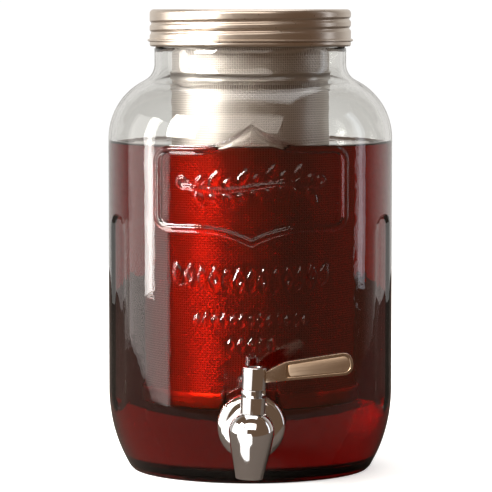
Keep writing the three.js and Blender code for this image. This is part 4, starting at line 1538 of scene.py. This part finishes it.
@dataclass
class Lever:
    """The lever: a hub on the stem and a paddle with a brushed plate, in millimetres."""

    places: Places
    finishes: Finishes
    hub_r: float = 6.5
    hub_z: float = 23.1
    hub_top: float = 34.9
    chamfer: float = 0.6
    stem_r: float = 4.5
    stem_top: float = 30.1
    screw_r: float = 3.5
    screw_floor: float = 32.7
    stop: float = 3.2
    stop_inner: float = 4.6
    stop_span: tuple[float, float] = (12.0, 42.0)
    rise: float = 30.7
    length: float = 52.4
    root: float = 17.9
    root_half: float = 5.0
    tip_half: float = 5.9
    tip_r: float = 5.2
    thick: float = 4.6
    low: float = 4.6
    high: float = 1.0
    rim: float = 1.5
    recess: float = 1.1
    plate_t: float = 0.5
    gap: float = 0.3

    def hub(self) -> BMesh:
        """Turns the hub.

        Returns:
            Its mesh, about the valve's axis.
        """
        mesh = bmesh.new()
        pen = Pen(mesh, 0.0, self.stem_top + self.gap)
        pen.line(self.stem_r, self.stem_top + self.gap).line(self.stem_r, self.hub_z)
        pen.line(self.hub_r, self.hub_z)
        pen.line(self.hub_r, self.hub_top - self.chamfer, 2)
        pen.arc((self.hub_r - self.chamfer, self.hub_top - self.chamfer), 90, 4)
        pen.line(self.screw_r, self.hub_top).line(self.screw_r, self.screw_floor)
        pen.line(0.0, self.screw_floor).close()
        sweep(mesh, [(360, 80)])
        return mesh

    def tab(self) -> BMesh:
        """Turns the stop that hangs into the collar's notch.

        Returns:
            Its mesh, about the valve's axis.
        """
        mesh = bmesh.new()
        low, high = self.hub_z - self.stop, self.hub_z + self.gap
        pen = Pen(mesh, self.stop_inner, low)
        pen.line(self.hub_r, low).line(self.hub_r, high).line(self.stop_inner, high).close()
        start, end = self.stop_span
        sweep(mesh, [(end - start, 8)], start=start)
        soften(mesh, 0.25)
        return mesh

    def outline(self, mesh: BMesh) -> None:
        """Draws the paddle's outline along its own middle line.

        Args:
            mesh: The mesh that takes the wire.
        """
        straight, inner = self.length - self.tip_r, self.tip_half - self.tip_r
        pen = Pen(mesh, self.hub_r / 2, -self.low)
        pen.line(self.root, -self.root_half, 2).line(straight, -self.tip_half, 3)
        pen.arc((straight, -inner), 90, 8).line(self.length, inner).arc((straight, inner), 90, 8)
        pen.line(self.root, self.root_half, 3)
        bend = (self.root - self.root_half, self.root_half - self.high)
        for x, z in quadratic((self.root, self.root_half), bend, (self.hub_r, self.high), 8):
            pen.line(x, z)
        pen.line(self.hub_r / 2, self.high).close()

    def field(self, mesh: BMesh, margin: float) -> None:
        """Draws the outline of the sunken field on the paddle.

        Args:
            mesh: The mesh that takes the wire.
            margin: Its distance from the paddle's edge.
        """
        tip_r = self.tip_r - margin
        start, straight = self.root - self.rim + margin, self.length - self.tip_r
        low, high = margin - self.root_half, self.root_half - margin
        inner = self.tip_half - self.tip_r
        pen = Pen(mesh, start + tip_r / 2, low)
        pen.line(straight, -inner - tip_r, 3).arc((straight, -inner), 90, 8)
        pen.line(straight + tip_r, inner).arc((straight, inner), 90, 8)
        pen.line(start + tip_r / 2, high, 3)
        for x, z in quadratic((start + tip_r / 2, high), (start, high), (start, 0.0), 6):
            pen.line(x, z)
        for x, z in quadratic((start, 0.0), (start, low), (start + tip_r / 2, low), 6)[:-1]:
            pen.line(x, z)
        pen.close()

    def slab(self, draw: Callable[[BMesh], None], front: float, back: float) -> BMesh:
        """Extrudes a drawn outline through the paddle's thickness.

        Args:
            draw: Draws the outline.
            front: Depth of its front face.
            back: Depth of its back face.

        Returns:
            The closed mesh.
        """
        mesh = bmesh.new()
        draw(mesh)
        face = bmesh.ops.contextual_create(mesh, geom=mesh.edges[:])["faces"][0]
        bmesh.ops.translate(mesh, verts=mesh.verts, vec=(0.0, front, 0.0))
        made = bmesh.ops.extrude_face_region(mesh, geom=[face], use_keep_orig=True)
        moved = [item for item in made["geom"] if isinstance(item, bmesh.types.BMVert)]
        bmesh.ops.translate(mesh, verts=moved, vec=(0.0, back - front, 0.0))
        bmesh.ops.recalc_face_normals(mesh, faces=mesh.faces)
        return mesh

    def paddle(self) -> BMesh:
        """Makes the paddle with its sunken field.

        Returns:
            Its mesh, lying along its own middle line.
        """
        mesh = self.slab(self.outline, -self.thick / 2, self.thick / 2)
        front = min(mesh.faces, key=lambda face: face.calc_center_median().y)
        bmesh.ops.inset_region(mesh, faces=[front], thickness=self.rim, use_even_offset=True)
        near = [vert for vert in front.verts if vert.co.x < self.root]
        for vert in near:
            vert.co.x = max(vert.co.x, self.root - 1.0)
            vert.co.z = max(min(vert.co.z, self.root_half - self.rim), self.rim - self.root_half)
        sunk = bmesh.ops.extrude_face_region(mesh, geom=[front])
        bmesh.ops.delete(mesh, geom=[front], context="FACES")
        moved = [item for item in sunk["geom"] if isinstance(item, bmesh.types.BMVert)]
        bmesh.ops.translate(mesh, verts=moved, vec=(0.0, self.recess, 0.0))
        bmesh.ops.remove_doubles(mesh, verts=mesh.verts, dist=MERGE)
        soften(mesh, 0.35, 3, 40)
        return mesh

    def build(self) -> None:
        """Makes the lever and its plate."""
        tilt = Matrix.Rotation(math.radians(-PADDLE_TILT), 4, "Y")
        along = Matrix.Translation((0.0, 0.0, self.rise)) @ tilt
        mesh = self.hub()
        paddle = self.paddle()
        for face in paddle.faces:
            face.material_index = 1
        for part, matrix in ((self.tab(), Matrix()), (paddle, along)):
            bmesh.ops.transform(part, matrix=matrix, verts=part.verts)
            join(mesh, part)
        handle = Piece("lever_arm", Body.LEVER, ("lever_handle",), "tap_chrome", 35.0)
        arm = handle.place(mesh, self.places.valve, self.finishes.chrome)
        arm.data.materials.append(self.finishes.satin)
        back = self.recess - self.thick / 2 - self.gap
        margin = self.rim + self.gap
        plate = self.slab(lambda wire: self.field(wire, margin), back - self.plate_t, back)
        soften(plate, 0.12)
        face = Piece("lever_plate", Body.LEVER, ("lever_panel",), "lever_brushed", 35.0)
        face.place(plate, self.places.valve @ along, self.finishes.brushed)


# ---- Pieces that keep their shape ----------------------------------------------------------------
def dress_kept_nodes(finishes: Finishes) -> None:
    """Gives the plain small pieces their finish.

    Args:
        finishes: Every finish.
    """
    cloud_tone_and_hole_shade = {
        "infuser_gasket": finishes.silicone,
        "infuser_seam": finishes.steel,
        "lid_liner": finishes.card,
        "tap_outer_seal": finishes.silicone,
        "tap_inner_seal": finishes.silicone,
        "tap_shank": finishes.brass,
        "tap_washer": finishes.zinc,
        "tap_lock_nut": finishes.brass,
        "valve_stem": finishes.zinc,
        "stem_ring_upper": finishes.rubber,
        "stem_ring_lower": finishes.rubber,
        "stem_clip": finishes.zinc,
        "lever_screw": finishes.zinc,
    }
    for name, material in cloud_tone_and_hole_shade.items():
        node = frame["nodes"][name]
        node.data.materials.clear()
        node.data.materials.append(material)
        LOG.info("%s: kept, in %s", name, material.name)


# ---- Studio --------------------------------------------------------------------------------------
@dataclass(frozen=True)
class Softbox:
    """A large soft light, in metres."""

    name: str
    place: tuple[float, float, float]
    size: tuple[float, float]
    power: float
    colour: Colour = (1.0, 1.0, 1.0)
    only: tuple[str, ...] = ()  # the pieces that it lights, or none for all

    def hang(self, target: Vector) -> None:
        """Hangs the light so that it faces the target.

        Args:
            target: The point that it faces.
        """
        data = bpy.data.lights.new(self.name, "AREA")
        data.shape = "RECTANGLE"
        data.size, data.size_y = self.size
        data.energy = self.power
        data.color = self.colour
        light = bpy.data.objects.new(self.name, data)
        light.location = self.place
        light.rotation_euler = (target - Vector(self.place)).to_track_quat("-Z", "Y").to_euler()
        light.visible_camera = False
        bpy.context.scene.collection.objects.link(light)
        if self.only:
            lit = bpy.data.collections.new(f"{self.name}_lit")
            for name in self.only:
                lit.objects.link(bpy.data.objects[name])
            light.light_linking.receiver_collection = lit


@dataclass
class Studio:
    """The floor, the sky, the lights and the camera, in metres."""

    distance: float = 1.72
    eye: float = 0.257
    aim: tuple[float, float] = (-0.0024, 0.124)
    swing: float = 0.37
    lens: float = 225.3
    sensor: float = 36.0
    floor_r: float = 0.78
    floor_place: tuple[float, float, float] = (0.0, 0.6, -0.0005)

    def floor(self) -> None:
        """Lays a round floor, pale to the eye and dull in the glass and the chrome."""
        mesh = bmesh.new()
        bmesh.ops.create_circle(mesh, cap_ends=True, segments=96, radius=self.floor_r)
        data = bpy.data.meshes.new("studio_floor")
        mesh.to_mesh(data)
        mesh.free()
        material, graph, shader = Finish("studio_paper").start()
        noise = graph.add("ShaderNodeTexNoise", {"Scale": 3.0, "Detail": 4.0})
        paper = graph.mix(noise.outputs[0], (0.90, 0.90, 0.90, 1), (0.93, 0.93, 0.93, 1))
        graph.feed(shader, "Base Color", paper)
        shader.inputs["Roughness"].default_value = 0.9
        shader.inputs["Emission Color"].default_value = (1, 1, 1, 1)
        shader.inputs["Emission Strength"].default_value = 0.6
        dull = graph.add("ShaderNodeBsdfDiffuse", {"Color": (0.09, 0.075, 0.065, 1)})
        graph.feed(graph.output(), "Surface", graph.by_ray(shader, dull))
        data.materials.append(material)
        floor = bpy.data.objects.new("studio_floor", data)
        floor.location = self.floor_place
        bpy.context.scene.collection.objects.link(floor)

    def sky(self) -> None:
        """Makes a sky that is white behind the object and a warm grey room in front of it."""
        world = bpy.data.worlds.new("studio_sky")
        world.use_nodes = True
        bpy.context.scene.world = world
        graph = Graph(world.node_tree)
        world.node_tree.nodes.clear()
        direction = graph.add("ShaderNodeTexCoord").outputs["Generated"]
        parts = graph.add("ShaderNodeSeparateXYZ", {"Vector": direction})
        reach = {"From Min": 0.2, "From Max": 0.9}
        depth = graph.add("ShaderNodeMapRange", reach, interpolation_type="SMOOTHSTEP")
        graph.feed(depth, "Value", parts.outputs[1])
        dim, bright = (0.13, 0.08, 0.05, 1), (0.74, 0.72, 0.69, 1)
        room = graph.mix(depth.outputs["Result"], dim, bright)
        inside = graph.add("ShaderNodeBackground", {"Color": room, "Strength": 1.0})
        seen = graph.add("ShaderNodeBackground", {"Color": (1, 1, 1, 1), "Strength": 1.05})
        graph.add("ShaderNodeOutputWorld", {"Surface": graph.by_ray(seen, inside)})

    def lights(self) -> None:
        """Hangs the soft lights."""
        bpy.context.scene.view_settings.view_transform = "Standard"
        target = Vector((0.0, 0.018, 0.13))
        card: Colour = (1.0, 0.99, 0.97)
        for light in (
            Softbox("window_high", (-1.75, -1.05, 1.05), (1.0, 1.3), 140.0, (1.0, 0.97, 0.93)),
            Softbox("window_left", (-2.0, 0.0, 0.55), (0.35, 1.3), 12.0, (1.0, 0.98, 0.95)),
            Softbox("wall_left", (-2.3, 0.1, 0.45), (2.0, 1.7), 13.0, (1.0, 0.98, 0.95)),
            Softbox("window_right", (1.9, 0.35, 0.6), (0.3, 1.4), 2.2, (0.84, 0.91, 1.0)),
            Softbox("overhead", (0.0, 0.5, 2.4), (2.0, 2.0), 22.0),
            Softbox("fill_front", (-0.2, -1.9, 1.5), (2.4, 1.4), 20.0, (1.0, 0.92, 0.84)),
            Softbox("tap_wall", (-1.7, -1.3, 0.25), (2.6, 1.7), 15.0, card, TAP_PIECES),
            Softbox("spout_card", (-0.03, -0.122, 0.001), (0.05, 0.035), 0.0066, card, TAP_PIECES),
            Softbox("tap_card", (-0.055, -0.14, 0.012), (0.12, 0.05), 0.027, card, TAP_PIECES),
        ):
            light.hang(target)

    def camera(self) -> None:
        """Sets up the camera."""
        axis = jar_axis()
        swing = math.radians(self.swing)
        away = self.distance * math.cos(swing)
        place = Vector((-self.distance * math.sin(swing), axis.y - away, self.eye))
        target = Vector((self.aim[0], axis.y, self.aim[1]))
        data = bpy.data.cameras.new("camera")
        data.lens = self.lens
        data.sensor_width = self.sensor
        data.clip_start, data.clip_end = 0.1, 150.0
        camera = bpy.data.objects.new("camera", data)
        camera.location = place
        camera.rotation_euler = (target - place).to_track_quat("-Z", "Y").to_euler()
        bpy.context.scene.collection.objects.link(camera)
        bpy.context.scene.camera = camera

    def build(self) -> None:
        """Sets up the whole studio."""
        self.floor()
        self.sky()
        self.lights()
        self.camera()


def main() -> None:
    """Builds the dispenser and the studio round it."""
    logging.basicConfig(level=logging.INFO, format="%(message)s")
    places = Places.from_frame()
    finishes = Finishes(Effects())
    Jar(places, finishes).build()
    Infuser(places, finishes).build()
    Lid(places, finishes).build()
    Tap(places, finishes).build()
    dress_kept_nodes(finishes)
    Studio().build()


if __name__ == "__main__":
    main()
